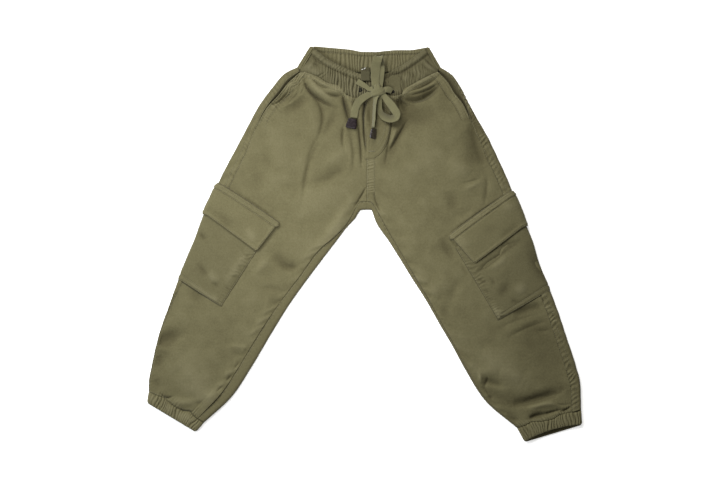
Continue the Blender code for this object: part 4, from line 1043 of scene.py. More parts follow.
def waistband_front():
    """The gathered front run: ribs that wander a little, a rounded top edge, a plain inside."""
    _, top_right, normal_right = fold_frame(RIGHT_LEG, RIGHT_CORNER)
    _, top_left, normal_left = fold_frame(LEFT_LEG, LEFT_CORNER)
    top_ends = ((top_right + normal_right * (BAND_TOPS[0] - END_LAP))[0],
                (top_left + normal_left * (BAND_TOPS[1] - END_LAP))[0])
    share = np.linspace(0, 1, BAND_STEPS)
    low_x = BAND_ENDS[0] + share * (BAND_ENDS[1] - BAND_ENDS[0])
    top_x = top_ends[0] + share * (top_ends[1] - top_ends[0])
    low = np.stack([low_x, seam_y(low_x) - SEAM_LAP], axis=1)
    from_end = np.minimum(top_x - top_x[0], top_x[-1] - top_x)
    top = np.stack([top_x, waist_table("front_y", top_x) - 0.8 * CORNER_ROUND * fading(from_end, 3)], axis=1)
    up = unit(top - low)
    fade = np.clip(9 * np.minimum(share, 1 - share), 0, 1)[:, None]
    rises = np.concatenate([[0, 0.03], np.linspace(0.07, 1, 20)])
    plan = low[:, None] + (top - low)[:, None] * rises[None, :, None]
    tall = np.linalg.norm(top - low, axis=1, keepdims=True)
    from_low, from_top = tall * rises, tall * (1 - rises)
    turns = band_turns(plan[..., 0]) + 0.18 * np.sin(0.21 * from_low + 2 * np.pi * 5 * share[:, None])
    crowd = band_crowd(plan[..., 0]) * fade
    below_roll = until(ROLL_DEPTH, from_top, 1.2)
    near_top = np.interp(from_top, [0, 2, 5], [0.2, 0.6, 1])
    relief = 1.9 * crowd * (0.35 + 0.65 * below_roll) * near_top * ribs(turns)
    relief += 0.16 * puckers(plan[..., 0] + 0.2 * from_low, 3.3, 3.0) * fade
    relief += 1.2 * bell(from_top, 4.4, 3.4) - 2.3 * bell(from_top, 9.8, 1.5)
    relief += 0.5 * puckers(plan[..., 0] + 0.8 * from_top, 5.4, 7.0) * until(from_top, ROLL_DEPTH, 1.0)
    relief += 0.45 * waves(plan, 31, 9, 26, 14) * fade
    relief += 0.8 * np.sin(np.pi * np.clip((from_low - 1) / 22, 0, 1)) * (1 - 0.5 * crowd)
    relief -= folded(plan, BAND_FOLDS)
    relief -= 0.9 * fading(from_low, 1.3) + 1.3 * fading(from_end, 1.1)[:, None]
    outer = on_cloth(plan)
    outer[..., 2] += relief
    lip = BAND_WALL / 2
    crown = []
    for angle in np.radians([50, 0, -50]):
        plan_lip = top + up * lip * np.cos(angle)
        level = outer[:, -1, 2] - lip + lip * np.sin(angle)
        crown.append(raised(plan_lip, level))
    inside = on_cloth(plan[:, [-1, -4, -8, -13, 0]])
    inside[..., 2] -= BAND_WALL
    sections = np.concatenate([outer, np.stack(crown, axis=1), inside], axis=1)
    reliefs = np.concatenate([relief, np.zeros((len(share), 8))], axis=1)
    return sheet_object("waistband_front_cloth", sections, reliefs, 0, closed_columns=True)


def side_rib(inset, rises):
    """The wavering ribs where the back run turns the side folds."""
    wavering = np.sin(2 * np.pi * inset / 4.4 + 0.9 * np.sin(5.0 * rises))
    return 0.85 * wavering * np.clip(8 * rises * (1.1 - rises), 0, 1)


def side_run(rows, corner, seam_insets, rises):
    """Sections of the back run round the side fold, outer face then inner face."""
    low, top, normal = fold_frame(rows, corner)
    low_width, top_width = seam_insets
    sections = []
    along = unit(top - low)
    for share in np.linspace(1.0, 0.6, 9):
        lows, tops = low + normal * low_width * share, top + normal * top_width * share
        tops = tops - along * CORNER_ROUND * 0.8 * (1 - share)
        outer = on_cloth(lows + (tops - lows) * rises[:, None])
        outer[..., 2] += side_rib(low_width * share, rises) - 0.4 * (share == 1.0)
        sections.append(np.vstack([outer, outer[::-1] - [0, 0, BAND_WALL]]))
    for angle in np.radians(np.linspace(60, -90, 25)):
        ring = []
        rib = side_rib(1.2 * FOLD_RADIUS * (angle + 0.3), rises)
        rib = rib * np.clip(2 * np.cos(angle), 0, 1) * (angle > -1)
        for radius, order in ((FOLD_RADIUS + rib, 1), (FOLD_RADIUS - BAND_WALL + 0 * rib, -1)):
            inset = FOLD_RADIUS - radius * np.cos(angle)
            level = FOLD_RADIUS + radius * np.sin(angle)
            tall = (top - low) - along * CORNER_ROUND * (0.32 + 0.68 * np.cos(angle) ** 2)
            line = (low + tall * rises[:, None]) + normal * inset[:, None]
            ring.append(raised(line, level)[::order])
        sections.append(np.vstack(ring))
    return sections


def waistband_back():
    """The back run; its inside shows over the front, ribbed below a stitched hem."""
    rises = np.concatenate([np.linspace(0, 0.7, 10), np.linspace(0.74, 1, 10)])
    right = side_run(RIGHT_LEG, RIGHT_CORNER, RIGHT_BAND_SEAM, rises)
    left = side_run(LEFT_LEG, LEFT_CORNER, LEFT_BAND_SEAM, rises)
    count = len(rises)
    middle = np.array([RIGHT_LEG[0].back_x, RIGHT_LEG[0].back_y - 2 * SEAM_LAP])
    right_low, right_top = right[-1][0, :2], right[-1][count - 1, :2]
    left_low, left_top = left[-1][0, :2], left[-1][count - 1, :2]
    sections, reliefs = list(right), [np.zeros(2 * count)] * len(right)
    share = np.linspace(0, 1, BACK_GATHERS * BACK_STEPS + 1)[1:-1]
    for part in share:
        if part < 0.5:
            low = right_low + (middle - right_low) * 2 * part
        else:
            low = middle + (left_low - middle) * (2 * part - 1)
        top_x = right_top[0] + part * (left_top[0] - right_top[0])
        from_end = min(top_x - right_top[0], left_top[0] - top_x)
        top = np.array([top_x, waist_table("back_y", top_x) - 0.32 * CORNER_ROUND * fading(from_end, 4)])
        fade = min(1.0, 9 * part, 9 * (1 - part))
        plan = low + (top - low) * rises[:, None]
        turns = band_turns(plan[:, 0] * 0.78 + 7) + 0.2 * np.sin(4.3 * rises + 30 * part)
        hem = 1 - until(rises, BACK_HEM, 0.015)
        crowd = np.interp(plan[:, 0], [-85, -52, -42, 60, 80], [0.2, 0.45, 0.9, 0.9, 0.4])
        wave = fade * (1.3 * crowd * ribs(turns, 1.0) * (1 - 0.7 * hem)
                       + 0.6 * hem * puckers(plan[:, 0], 4.6, 5.0))
        wave += fade * (0.6 * hem - 1.5 * bell(rises, BACK_HEM, 0.035))
        inner = BAND_WALL + 0.1 + wave
        inner[-1] = BAND_WALL / 2
        outside = 0.35 * fade * np.clip(ribs(turns, 1.0), -1, 0) ** 2 * np.sin(np.pi * rises)
        sections.append(np.vstack([np.column_stack([plan, outside]), np.column_stack([plan, inner])[::-1]]))
        reliefs.append(np.concatenate([-outside, wave[::-1]]))
    sections += left[::-1]
    reliefs += [np.zeros(2 * count)] * len(left)
    return sheet_object("waistband_back_cloth", np.array(sections), np.array(reliefs), 0, closed_columns=True)


def waist_tab():
    """A small blank tab: sewn inside the back run, its end lies over the front's rolled edge."""
    across = np.linspace(-0.5, 0.5, 16)
    down = np.linspace(0.5, -0.5, 30)
    x, y = np.meshgrid(across, down)
    plan = np.stack([TAB_CENTRE[0] + x * TAB_SIZE[0], TAB_CENTRE[1] + y * TAB_SIZE[1]], axis=-1)
    low = BAND_WALL + LAYER_GAP + TAB_SIZE[2] + 0.7
    over = until(plan[..., 1], TAB_TURN, 1.3)
    level = low + (height(plan) + 3.4 - low) * over + 0.3 * np.sin(9 * y) + 0.4 * x * over
    return shell("waist_tab_cloth", raised(plan, level), np.zeros(x.shape), TAB_SIZE[2])


# ---------------------------------------------------------------- cuffs
CUFF_CORNER = 0.12             # how much shorter the cuffs are at their rounded corners
CUFF_TUCK = 0.07               # how far the cuff goes under the leg, by share of its height
STEPS_A_GATHER = 12


def cuff(name, rows, hem, seed):
    """A gathered ring, flattened to two faces; its ribs crowd in clusters."""
    last = rows[-1]
    inner_top, outer_top = np.array([[last.back_x, last.back_y], [last.side_x, last.side_y]])
    inner_hem, outer_hem = np.array([[hem.inner_x, hem.inner_y], [hem.outer_x, hem.outer_y]])
    down = unit(inner_hem - inner_top)
    inner_top, outer_top = inner_top + down * SEAM_GAP / 2, outer_top + down * SEAM_GAP / 2
    seam_run = outer_top - inner_top
    corners = (inner_top, outer_top, inner_hem, outer_hem)
    stations = 2 * CUFF_GATHERS * STEPS_A_GATHER
    reaches = np.concatenate([[-CUFF_TUCK, 0.0, 0.05], np.linspace(0.14, 1.0, 11)])
    lip = CUFF_WALL / 2
    sections, reliefs = [], []
    for station in range(stations):
        turn = 2 * station / stations
        upper = turn < 1
        share = turn if upper else 2 - turn
        ends_fade = min(1.0, 9 * share, 9 * (1 - share))
        pulled = hem.pulled * upper * np.sin(np.pi * share) ** 0.6
        section, relief = [], []
        for reach in reaches:
            turns = gather_turns(share, CUFF_GATHERS) + 0.25 * np.sin(4 * reach + 9 * share)
            swell = np.interp(reach, [0, 0.15, 0.85, 1], [0.7, 1, 1, 0.5])
            crowd = cuff_clusters(rows, share)
            wave = 1.35 * ribs(turns, seed) * crowd
            wave += 0.35 * puckers(np.array(share * 105 + 3 * reach), 3.1, seed)
            wave += 2.0 * np.sin(np.pi * np.clip(reach, 0, 1)) * (1 - crowd)
            wave = (wave * swell * ends_fade - 0.8 * fading(max(reach, -0.05), 0.05)) * (1 if upper else 0.25)
            if not upper:
                wave = min(wave, 0.0)
            point = ring_point(corners, share, upper, reach, wave, pulled - 0.8 * wave)
            along = np.dot(point[:2] - inner_top, seam_run) / np.dot(seam_run, seam_run)
            point[:2] -= down * wander(rows, np.clip(along, 0, 1)) * (1 - max(reach, 0)) ** 1.5 * upper
            section.append(point)
            relief.append(wave)
        for turn_in, drop in ((0.5, 0.35), (0.9, 1.0), (0.5, 1.65)):
            wall_point = ring_point(corners, share, upper, 1.0, relief[-1] - lip * drop, pulled)
            section.append(wall_point + np.array([*(down * turn_in * lip * 0.8), 0.0]))
            relief.append(0.0)
        # The ring's inner wall is painted darker: painted shade inside the tube.
        for reach in (0.9, 0.6, 0.3, 0.0):
            section.append(ring_point(corners, share, upper, reach, -CUFF_WALL, pulled))
            relief.append(-1.0)
        sections.append(section)
        reliefs.append(relief)
    return sheet_object(name, np.array(sections), np.array(reliefs), 0, closed_rows=True, closed_columns=True)


def ring_point(corners, share, upper, reach, wave, pulled):
    """A point of a flattened ring: half rounds at its two ends, flat runs between them."""
    inner_top, outer_top, inner_hem, outer_hem = corners
    reach *= 1 - CUFF_CORNER * bell(min(share, 1 - share), 0, 0.03)
    inner = inner_top + (inner_hem - inner_top) * reach
    outer = outer_top + (outer_hem - outer_top) * reach
    width = np.linalg.norm(outer - inner)
    direction = (outer - inner) / width
    up_leg = unit(inner_top - inner_hem)
    run = width - 2 * CUFF_RADIUS
    travelled = share * (run + np.pi * CUFF_RADIUS)
    quarter = np.pi * CUFF_RADIUS / 2
    radius = CUFF_RADIUS + wave
    if travelled < quarter:
        angle = travelled / CUFF_RADIUS
        along, lifted = CUFF_RADIUS - radius * np.cos(angle), radius * np.sin(angle)
    elif travelled > quarter + run:
        angle = (travelled - quarter - run) / CUFF_RADIUS
        along, lifted = width - CUFF_RADIUS + radius * np.sin(angle), radius * np.cos(angle)
    else:
        along, lifted = CUFF_RADIUS + travelled - quarter, radius
    plan = inner + direction * along + up_leg * pulled * reach
    return np.array([*plan, CUFF_RADIUS + (lifted if upper else -lifted)])


# ---------------------------------------------------------------- cargo pockets, flaps and fly
WRAP_COLUMNS = 11               # of a patch, where it turns round the side fold,
WRAP_END = 62.0                 # up to this angle;
FAR_IN = 99.0                   # they count as this far from its inner edge
POCKET_GRID = (118, 74)
FLAP_GRID = (84, 80)


def patch_grid(rows, patch, wrap, lift, count, ear=np.zeros_like, bow=0.0):
    """Points, edge distances and relief of a patch on the front; lift gives its height off it.

    The ear widens the patch along its inner edge; the bow arches its top edge up the leg.
    """
    down = np.linspace(0, 1, count[0])
    at = patch.start + (patch.end - patch.start) * down
    side = path(rows, "side", at)
    normal = inward(rows, "side", at, path(rows, "front", at))
    edge = np.stack([patch.top_x + (patch.foot_x - patch.top_x) * down,
                     patch.top_y + (patch.foot_y - patch.top_y) * down], axis=-1)
    start = side + normal * 1.6 * FOLD_RADIUS
    width = np.linalg.norm(edge - start, axis=1)
    edge += (edge - start) / width[:, None] * ear(down)[:, None]
    width = np.linalg.norm(edge - start, axis=1)
    length = run_along((start + edge) / 2)
    up = unit((start + edge)[0] - (start + edge)[-1])
    columns = []
    far = np.full(len(at), FAR_IN)
    for angle in np.radians(np.linspace(wrap, WRAP_END, WRAP_COLUMNS)):
        plan = side + normal * FOLD_RADIUS * (1 - np.cos(angle))
        out = np.concatenate([-normal * np.cos(angle), np.full((len(at), 1), np.sin(angle))], axis=1)
        level = np.full((len(at), 1), FOLD_RADIUS * (1 + np.sin(angle)))
        moved, relief = lift(plan, length, length[-1] - length, far, down, 0.0)
        columns.append((np.concatenate([plan, level], axis=1) + out * moved[:, None], relief, plan, far))
    for share in eased(count[1], 0.6):
        plan = start + (edge - start) * share + up * (bow * np.sin(np.pi * share) * (1 - down) ** 2)[:, None]
        from_inner = (1 - share) * width
        moved, relief = lift(plan, length, length[-1] - length, from_inner, down, share)
        columns.append((on_cloth(plan, moved), relief, plan, from_inner))
    return (*(np.stack(kind, axis=1) for kind in zip(*columns)), length)


def cargo_pocket(name, rows, patch, seed):
    def lift(plan, from_top, from_bottom, from_inner, down, share):
        below_flap = np.clip((down - 0.42) / 0.2, 0, 1)
        puff = POCKET_PUFF * below_flap * np.sin(np.pi * np.clip(down, 0, 1))
        puff = puff * np.sin(np.pi * min(share * 0.94 + 0.03, 1)) ** 0.6
        inside = 1 - fading(np.minimum(from_inner, from_bottom), 3.5)
        relief = -folded(plan, POCKET_FOLDS) * inside + 0.45 * cloth_waves(plan)
        drift = 1.3 * waves(plan, 52, 10, 26, 6)
        row = bell(from_inner, 7, 11)
        relief = relief + 0.62 * puckers(from_top - 0.5 * from_inner + drift, 6.4, seed) * row
        hem = until(from_bottom, POCKET_HEM, 0.7)
        relief = relief + 0.3 * hem - 1.0 * bell(from_bottom, 8.7, 1.2)
        foot = puckers(np.full_like(down, share * 130), 5.0, seed + 2)
        relief = relief + 0.25 * foot * fading(from_bottom, 6)
        relief = relief - 0.7 * bell(from_bottom, 2.4, 1.0) - 0.45 * bell(from_inner, 2.2, 0.9)
        edge = np.minimum(from_inner, from_bottom)
        # A painted shade line along the pocket's free edges, in the colour only.
        wear_and_shade = relief - 2.8 * bell(edge, 0, 1.2)
        return 0.4 + 0.9 * inside + puff * inside + relief * (0.5 + 0.5 * inside) - edge_turn(edge), wear_and_shade

    points, relief, plans, insets, length = patch_grid(rows, patch, POCKET_WRAP, lift, POCKET_GRID)
    return shell(name, points, relief, POCKET_WALL), plans, insets, length


HEADER = 11.4                   # where the flap's second seam is, below its top edge
POCKET_HEM = 8.5                # and the pocket's, above its foot
FLAP_BOW = 1.2


def cargo_flap(name, rows, patch, seed):
    def lift(plan, from_top, from_bottom, from_inner, down, share):
        step = 1.5 * LAYER_GAP + POCKET_WALL
        header = until(from_top, HEADER, 0.7)
        relief = -folded(plan, FLAP_FOLDS) + 0.35 * cloth_waves(plan)
        relief = relief + 0.3 * header - 1.2 * bell(from_top, HEADER, 1.3)
        relief = relief - 0.9 * bell(from_top, 0.42 * HEADER, 1.0)
        edge = np.minimum(np.minimum(from_inner, from_bottom), from_top)
        relief = relief + 0.5 * bell(edge, 3.6, 2.2) - 0.6 * bell(edge, 2.0, 0.9)
        ripple = puckers(from_top + np.full_like(down, share * 90) + 2 * waves(plan, 51, 8, 20, 6), 5.4, seed)
        relief = relief + (0.15 + 0.5 * header + 0.35 * fading(edge, 7)) * ripple * 0.6
        lifted = LAYER_GAP + FLAP_WALL + (step + 0.4) * np.clip(down / 0.1, 0, 1)
        belly = 1.1 * np.sin(np.pi * down) * np.sin(np.pi * (0.1 + 0.85 * share))
        tucked = (manner_of(rows).flap_drop * fading(from_inner, 11.0) + 0.8 * fading(from_inner, 0.8)
                  + 2.1 * fading(from_top, 0.9))
        # A painted shade line along the flap's edges, in the colour only.
        wear_and_shade = relief - 2.6 * bell(edge, 0, 1.2)
        return lifted + relief + belly - tucked - 1.2 * edge_turn(np.minimum(from_inner, from_bottom)), wear_and_shade

    def ear(down):
        return 3.4 * bell(down, 0.09, 0.05) - 2.4 * np.clip((down - 0.93) / 0.07, 0, 1)

    points, relief, plans, insets, length = patch_grid(rows, patch, FLAP_WRAP, lift, FLAP_GRID, ear, FLAP_BOW)
    return shell(name, points, relief, FLAP_WALL), plans, insets, length


def fly_edge(drop):
    """y of the placket's lower outline and x of its right edge, at each share of the way down."""
    y = FLY_TOP_Y - drop * (FLY_TOP_Y - FLY_FOOT_Y)
    part = np.clip((FLY_BEND_Y - y) / (FLY_BEND_Y - FLY_FOOT_Y), 0, 0.985)
    return y, FLY_LEFT + (FLY_RIGHT - FLY_LEFT) * np.sqrt(1 - part ** 2)


def fly_placket():
    """The J-shaped placket beside the centre front; its edge falls to the front under it."""
    drop = np.concatenate([np.linspace(0, 0.55, 46), 1 - 0.45 * np.cos(np.linspace(0.03, 1.54, 50))])
    y_flat, right = fly_edge(drop)
    across = eased(40, 0.5)
    xs = (FLY_LEFT + 2.5 * (1 - drop))[:, None] * (1 - across) + right[:, None] * across
    top = seam_y(xs) - SEAM_GAP
    ys = np.minimum((y_flat + 4 * (1 - drop))[:, None], top - 96 * drop[:, None])
    plan = np.stack([xs, ys], axis=-1)
    outline = np.concatenate([plan[:, -1], plan[-1, ::-1]])
    from_edge = np.minimum(distance(plan, outline), distance(plan, plan[:, 0]) + 0.6)
    relief = -folded(plan, FOLDS) + cloth_waves(plan)
    stitched = sum(bell(from_edge, row, 1.0) for row in FLY_ROWS)
    ripple = puckers(plan[..., 1] * 0.9 + plan[..., 0], 4.9, 2.0)
    relief += 0.2 * ripple * fading(from_edge, 9) - 0.3 * stitched
    under = below_waist(plan)
    relief += 0.9 * ribs(band_turns(plan[..., 0])) * fading(np.clip(under, 0, None), 9)
    points = on_cloth(plan)
    stands = LAYER_GAP + FLY_WALL - 1.2 * fading(from_edge, 0.9)
    points[..., 2] += stands + relief
    return shell("fly_placket_cloth", points, relief, FLY_WALL), outline


# ---------------------------------------------------------------- stitching
THREAD = 0.36
STITCH = 2.7
STITCH_PITCH = 3.5
TACK_PITCH = 0.62
CROTCH_PITCH = 2.9
CROTCH_STATIONS = (4.4, 6.9)
WAIST_ROWS = (3.0, 8.6)         # how far the rows of stitches are inside the pieces' edges
MOUTH_ROW = 2.2
CROTCH_ROWS = (1.6, 12.6)
STRIP_ROW = 1.9
FELLED_ROW = 9.4
WIDE_STRIP = 11.5               # strips wider than this have the felled row too
PATCH_ROW = 2.1
FLY_ROWS = (2.4, 7.6)
BACK_HEM_ROW = 8.4
BACK_HEM_ENDS = 14              # it stops this far short of the side folds


def stitch_centres(line, pitch):
    run = run_along(line)
    spots = np.arange(pitch / 2, run[-1], pitch)

    def at(shift):
        return np.stack([np.interp(spots + shift, run, line[:, axis]) for axis in (0, 1)], axis=1)

    along = at(0.3) - at(-0.3)
    return at(0), along / np.maximum(np.linalg.norm(along, axis=1, keepdims=True), 1e-6)


class Needle:
    """Lays thread on the top of one piece and joins it all in one mesh."""

    def __init__(self, piece):
        mesh = piece.data
        corners = [vert.co.copy() for vert in mesh.vertices]
        self.tree = BVHTree.FromPolygons(corners, [tuple(face.vertices) for face in mesh.polygons])
        self.verts, self.faces = [], []

    def down_to(self, x, y):
        spot, normal, _, _ = self.tree.ray_cast(Vector((x * MM, y * MM, 0.1)), Vector((0, 0, -1)))
        return (None, None) if spot is None else (np.array(spot) / MM, np.array(normal))

    def thread(self, centre, along, length=STITCH, radius=THREAD):
        start, first = self.down_to(*(centre - along * length / 2))
        end, second = self.down_to(*(centre + along * length / 2))
        if start is None or end is None or np.linalg.norm(end - start) > 2.5 * length:
            return
        normal = first + second
        normal /= max(np.linalg.norm(normal), 1e-6)
        line = end - start
        across = np.cross(line, normal)
        across /= max(np.linalg.norm(across), 1e-6)
        base = len(self.verts)
        sides = 6
        for reach, size, lift in ((0, 0.45, -0.25), (0.22, 0.95, 0.5), (0.78, 0.95, 0.5), (1, 0.45, -0.25)):
            middle = start + line * reach + normal * radius * lift
            for side in range(sides):
                turn = 2 * np.pi * side / sides
                self.verts.append(middle + radius * size * (across * np.cos(turn) + normal * np.sin(turn)))
        for ring in range(3):
            for side in range(sides):
                a, b = base + ring * sides + side, base + ring * sides + (side + 1) % sides
                self.faces.append((a, b, b + sides, a + sides))
        self.faces.append(tuple(base + side for side in reversed(range(sides))))
        self.faces.append(tuple(base + 3 * sides + side for side in range(sides)))

    def row(self, line, pitch=STITCH_PITCH):
        for centre, along in zip(*stitch_centres(np.asarray(line, float), pitch)):
            self.thread(centre, along)

    def bartack(self, x, y, turn, length):
        """A dense bar of short stitches across its own line."""
        way = np.array([np.cos(np.radians(turn)), np.sin(np.radians(turn))])
        ends = np.array([x, y]) + way * np.array([[-length / 2], [length / 2]])
        for centre, along in zip(*stitch_centres(ends, TACK_PITCH)):
            self.thread(centre, np.array([-along[1], along[0]]), length=2.1, radius=0.34)

    def finish(self, name):
        mesh = bpy.data.meshes.new(name)
        mesh.from_pydata([tuple(vert * MM) for vert in self.verts], [], self.faces)
        mesh.shade_smooth()
        return link(name, mesh)


def inset_line(plan, insets, inset, rows=slice(None)):
    """The plan line at a distance from an edge, through the rows of a grid."""
    line = []
    for points, distances in zip(plan[rows], insets[rows]):
        order = np.argsort(distances)
        line.append([np.interp(inset, distances[order], points[order, axis]) for axis in (0, 1)])
    return np.array(line)


# ---------------------------------------------------------------- drawcord
def flat_ring(count, side_power, up_power):
    """Two sides of a closed section, each -1 to 1; it is squarer with lower powers."""
    around = np.linspace(0, 2 * np.pi, count, endpoint=False)
    side, up = np.cos(around), np.sin(around)
    return np.sign(side) * np.abs(side) ** side_power, np.sign(up) * np.abs(up) ** up_power


def tape_frames(route, steps):
    knots = range(len(route))
    at = np.linspace(0, len(route) - 1, steps * (len(route) - 1) + 1)
    values = {field: smooth(knots, [getattr(point, field) for point in route], at)
              for field in Tape._fields}
    plan = np.stack([values["x"], values["y"]], axis=-1)
    centre = on_cloth(plan, values["lift"])
    for _ in range(3):
        centre[1:-1] = (centre[:-2] + 2 * centre[1:-1] + centre[2:]) / 4
    along = unit(np.gradient(centre, axis=0))
    across, tilt = np.radians(values["across"]), np.radians(values["tilt"])
    wide = np.stack([np.cos(across) * np.cos(tilt), np.sin(across) * np.cos(tilt), np.sin(tilt)], axis=-1)
    wide = unit(wide - along * np.sum(wide * along, axis=1, keepdims=True))
    return centre, wide, np.cross(along, wide), values["width"]


def cord(name, route, nodes):
    """Flat woven tape along its route: thicker edges, a slight crown, a soft waver."""
    centre, wide, up, width = tape_frames(route, 14)
    side, thick = flat_ring(28, 0.55, 0.45)
    run = run_along(centre)
    waver = 0.25 * np.sin(run / 5.1) + 0.18 * np.sin(run / 2.3 + 1)
    points = (centre[:, None] + wide[:, None] * (width[:, None] / 2 * side)[..., None]
              + up[:, None] * (TAPE_WALL / 2 * thick * (1 + 0.25 * np.abs(side) ** 6)
                               + waver[:, None] * side ** 2)[..., None])
    knots = range(len(route))
    # Painted shade: the route's shade darkens the tape towards one edge.
    shade = smooth(knots, [point.shade for point in route], np.linspace(0, knots[-1], len(run)))
    made = sheet_object(name, points, -shade[:, None] * (0.5 - 0.5 * side), 0, closed_columns=True)
    spots = np.stack([np.broadcast_to(side * width[:, None] / 2, points.shape[:2]),
                      np.broadcast_to(run[:, None], points.shape[:2]), np.zeros(points.shape[:2])], axis=-1)
    keep(made.data, "weave", "FLOAT_VECTOR", spots)
    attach(made, "root")
    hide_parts(*nodes)
    return made


def cord_tip(name, tip):
    """A moulded end: a flat sleeve that narrows to the tape, with a crimped waist and round edges."""
    wide, long, thick = TIP_SIZE
    down = np.array([0.0, 0.03, 0.10, 0.22, 0.30, 0.36, 0.5, 0.7, 0.88, 0.96, 1.0])
    widths = np.array([0.66, 0.74, 0.80, 0.84, 0.82, 0.88, 0.96, 1.0, 0.98, 0.92, 0.80])
    depths = np.array([0.55, 0.80, 0.95, 1.0, 0.82, 1.0, 1.0, 1.0, 0.95, 0.75, 0.35])
    side, up = flat_ring(36, 0.42, 0.6)
    points = np.stack([wide / 2 * widths[:, None] * side, long * (0.5 - down)[:, None] * np.ones_like(side),
                       thick / 2 * depths[:, None] * up], axis=-1)
    made = sheet_object(name, points, np.zeros(points.shape[:2]), 0, closed_columns=True)
    level = float(height(np.array([tip.x, tip.y]))) + tip.lift
    turn = Matrix.Rotation(np.radians(tip.turn), 4, "Z") @ Matrix.Rotation(np.radians(tip.tilt), 4, "Y")
    made.data.transform(Matrix.Translation(Vector((tip.x, tip.y, level)) * MM) @ turn)
    subdivision = made.modifiers.new("smoothing", "SUBSURF")
    subdivision.levels = subdivision.render_levels = 1
    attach(made, "root")
    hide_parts(name.replace("_piece", ""))
    return made


Wrap = namedtuple("Wrap", "turn x y lift round_x round_z width start end")
WRAPS = rows_of(Wrap, (14, -0.4, -1.6, 0.4, 11.8, 4.6, 13.0, -25, 205),
                      (-30, -3.0, -0.5, -0.9, 10.0, 3.4, 8.5, -30, 210),
                      (84, -1.6, 3.0, 0.2, 8.8, 4.2, 11.0, -20, 200))


def knot():
    """The tape's turns round itself: three short bands that cross, puckered where they pull in."""
    level = float(height(np.array(KNOT_CENTRE))) + KNOT_LIFT
    verts, faces, relief = [], [], []
    side, thick = flat_ring(26, 0.6, 0.5)
    for number, wrap in enumerate(WRAPS):
        angles = np.radians(np.linspace(wrap.start, wrap.end, 40))
        way = np.array([np.cos(np.radians(wrap.turn)), np.sin(np.radians(wrap.turn)), 0.0])
        wide = np.array([-way[1], way[0], 0.0])
        centre = np.array([KNOT_CENTRE[0] + wrap.x, KNOT_CENTRE[1] + wrap.y, level - 2.4 + wrap.lift])
        points, ripples = [], []
        for angle in angles:
            pinch = 1 - 0.28 * abs(np.cos(angle)) ** 2
            outward = way * np.cos(angle) + UP * np.sin(angle)
            middle = centre + way * wrap.round_x * np.cos(angle) + UP * wrap.round_z * np.sin(angle)
            ripple = 0.45 * np.sin(5.5 * side + 2.1 * angle + number) * (0.4 + 0.6 * abs(np.cos(angle)))
            points.append(middle + wide * (wrap.width / 2 * pinch * side)[:, None]
                          + outward * (0.75 * thick + ripple - 0.7 * side ** 2)[:, None])
            ripples.append(ripple)
        base = len(verts)
        verts += np.array(points).reshape(-1, 3).tolist()
        relief += np.array(ripples).reshape(-1).tolist()
        rings, sides = len(angles), len(side)
        faces += (grid_faces(rings, sides, closed_columns=True) + base).tolist()
        for end in (base, base + (rings - 1) * sides):
            faces.append(tuple(end + i for i in range(sides)))
    mesh = bpy.data.meshes.new("drawcord_knot_tape")
    mesh.from_pydata((np.array(verts) * MM).tolist(), [], faces)
    keep(mesh, "relief", "FLOAT", relief)
    keep(mesh, "weave", "FLOAT_VECTOR", verts)
    bm = bmesh.new()
    bm.from_mesh(mesh)
    bmesh.ops.recalc_face_normals(bm, faces=bm.faces)
    bm.to_mesh(mesh)
    bm.free()
    mesh.shade_smooth()
    made = link("drawcord_knot_tape", mesh)
    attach(made, "root")
    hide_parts("drawcord_knot")
    return made


Eyelet = namedtuple("Eyelet", "x y round_x round_y")
EYELETS = rows_of(Eyelet, (-7.2, 260.2, 3.9, 3.8), (48.4, 257.6, 3.0, 2.8))

def eyelet(name, spot, needle):
    """A worked eyelet: satin stitches round a dark opening, drawn as a near-black disc of painted shade."""
    for turn in np.linspace(0, 2 * np.pi, 30, endpoint=False):
        way = np.array([np.cos(turn), np.sin(turn)])
        centre = np.array([spot.x + (spot.round_x + 0.5) * way[0], spot.y + (spot.round_y + 0.5) * way[1]])
        needle.thread(centre, way, length=1.2, radius=0.2)
    around = np.linspace(0, 2 * np.pi, 24, endpoint=False)
    hole = []
    for size, sink in ((1.02, 0.2), (0.5, 0.3), (0.15, 0.3)):
        ring = []
        for turn in around:
            x, y = spot.x + spot.round_x * size * np.cos(turn), spot.y + spot.round_y * size * np.sin(turn)
            top, _ = needle.down_to(x, y)
            if top is None:
                top = on_cloth(np.array([x, y]))
            ring.append(top + [0, 0, sink])
        hole.append(ring)
    points = np.array(hole)
    made = sheet_object(name, np.concatenate([points, points[:, :1]], axis=1), np.zeros((3, 25)), 1)
    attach(made, "root")
    return made


# ---------------------------------------------------------------- materials
CLOTH = (0.0985, 0.0880, 0.0424)
# Troughs take the next colour as painted shade; crests take the one after as wear on seams and as painted
# light on ridges.
CLOTH_SHADE = (0.0655, 0.0568, 0.0257)
CLOTH_WORN_AND_LIT = (0.134, 0.1206, 0.0645)
TAPE_COLOUR = (0.125, 0.116, 0.053)
TAPE_SHADED = (0.050, 0.044, 0.022)
TAPE_DEEP = (0.078, 0.072, 0.034)
THREAD_COLOUR = (0.135, 0.124, 0.070)
# A paler tip colour: painted light on the middle tip.
TIP_LIT = (0.0200, 0.0150, 0.0145)
TIP_COLOUR = (0.0076, 0.0040, 0.0050)
TAB_COLOUR = (0.058, 0.053, 0.029)
HOLE_COLOUR = (0.003, 0.003, 0.002)
PALE_COLOUR = (0.72, 0.71, 0.66)


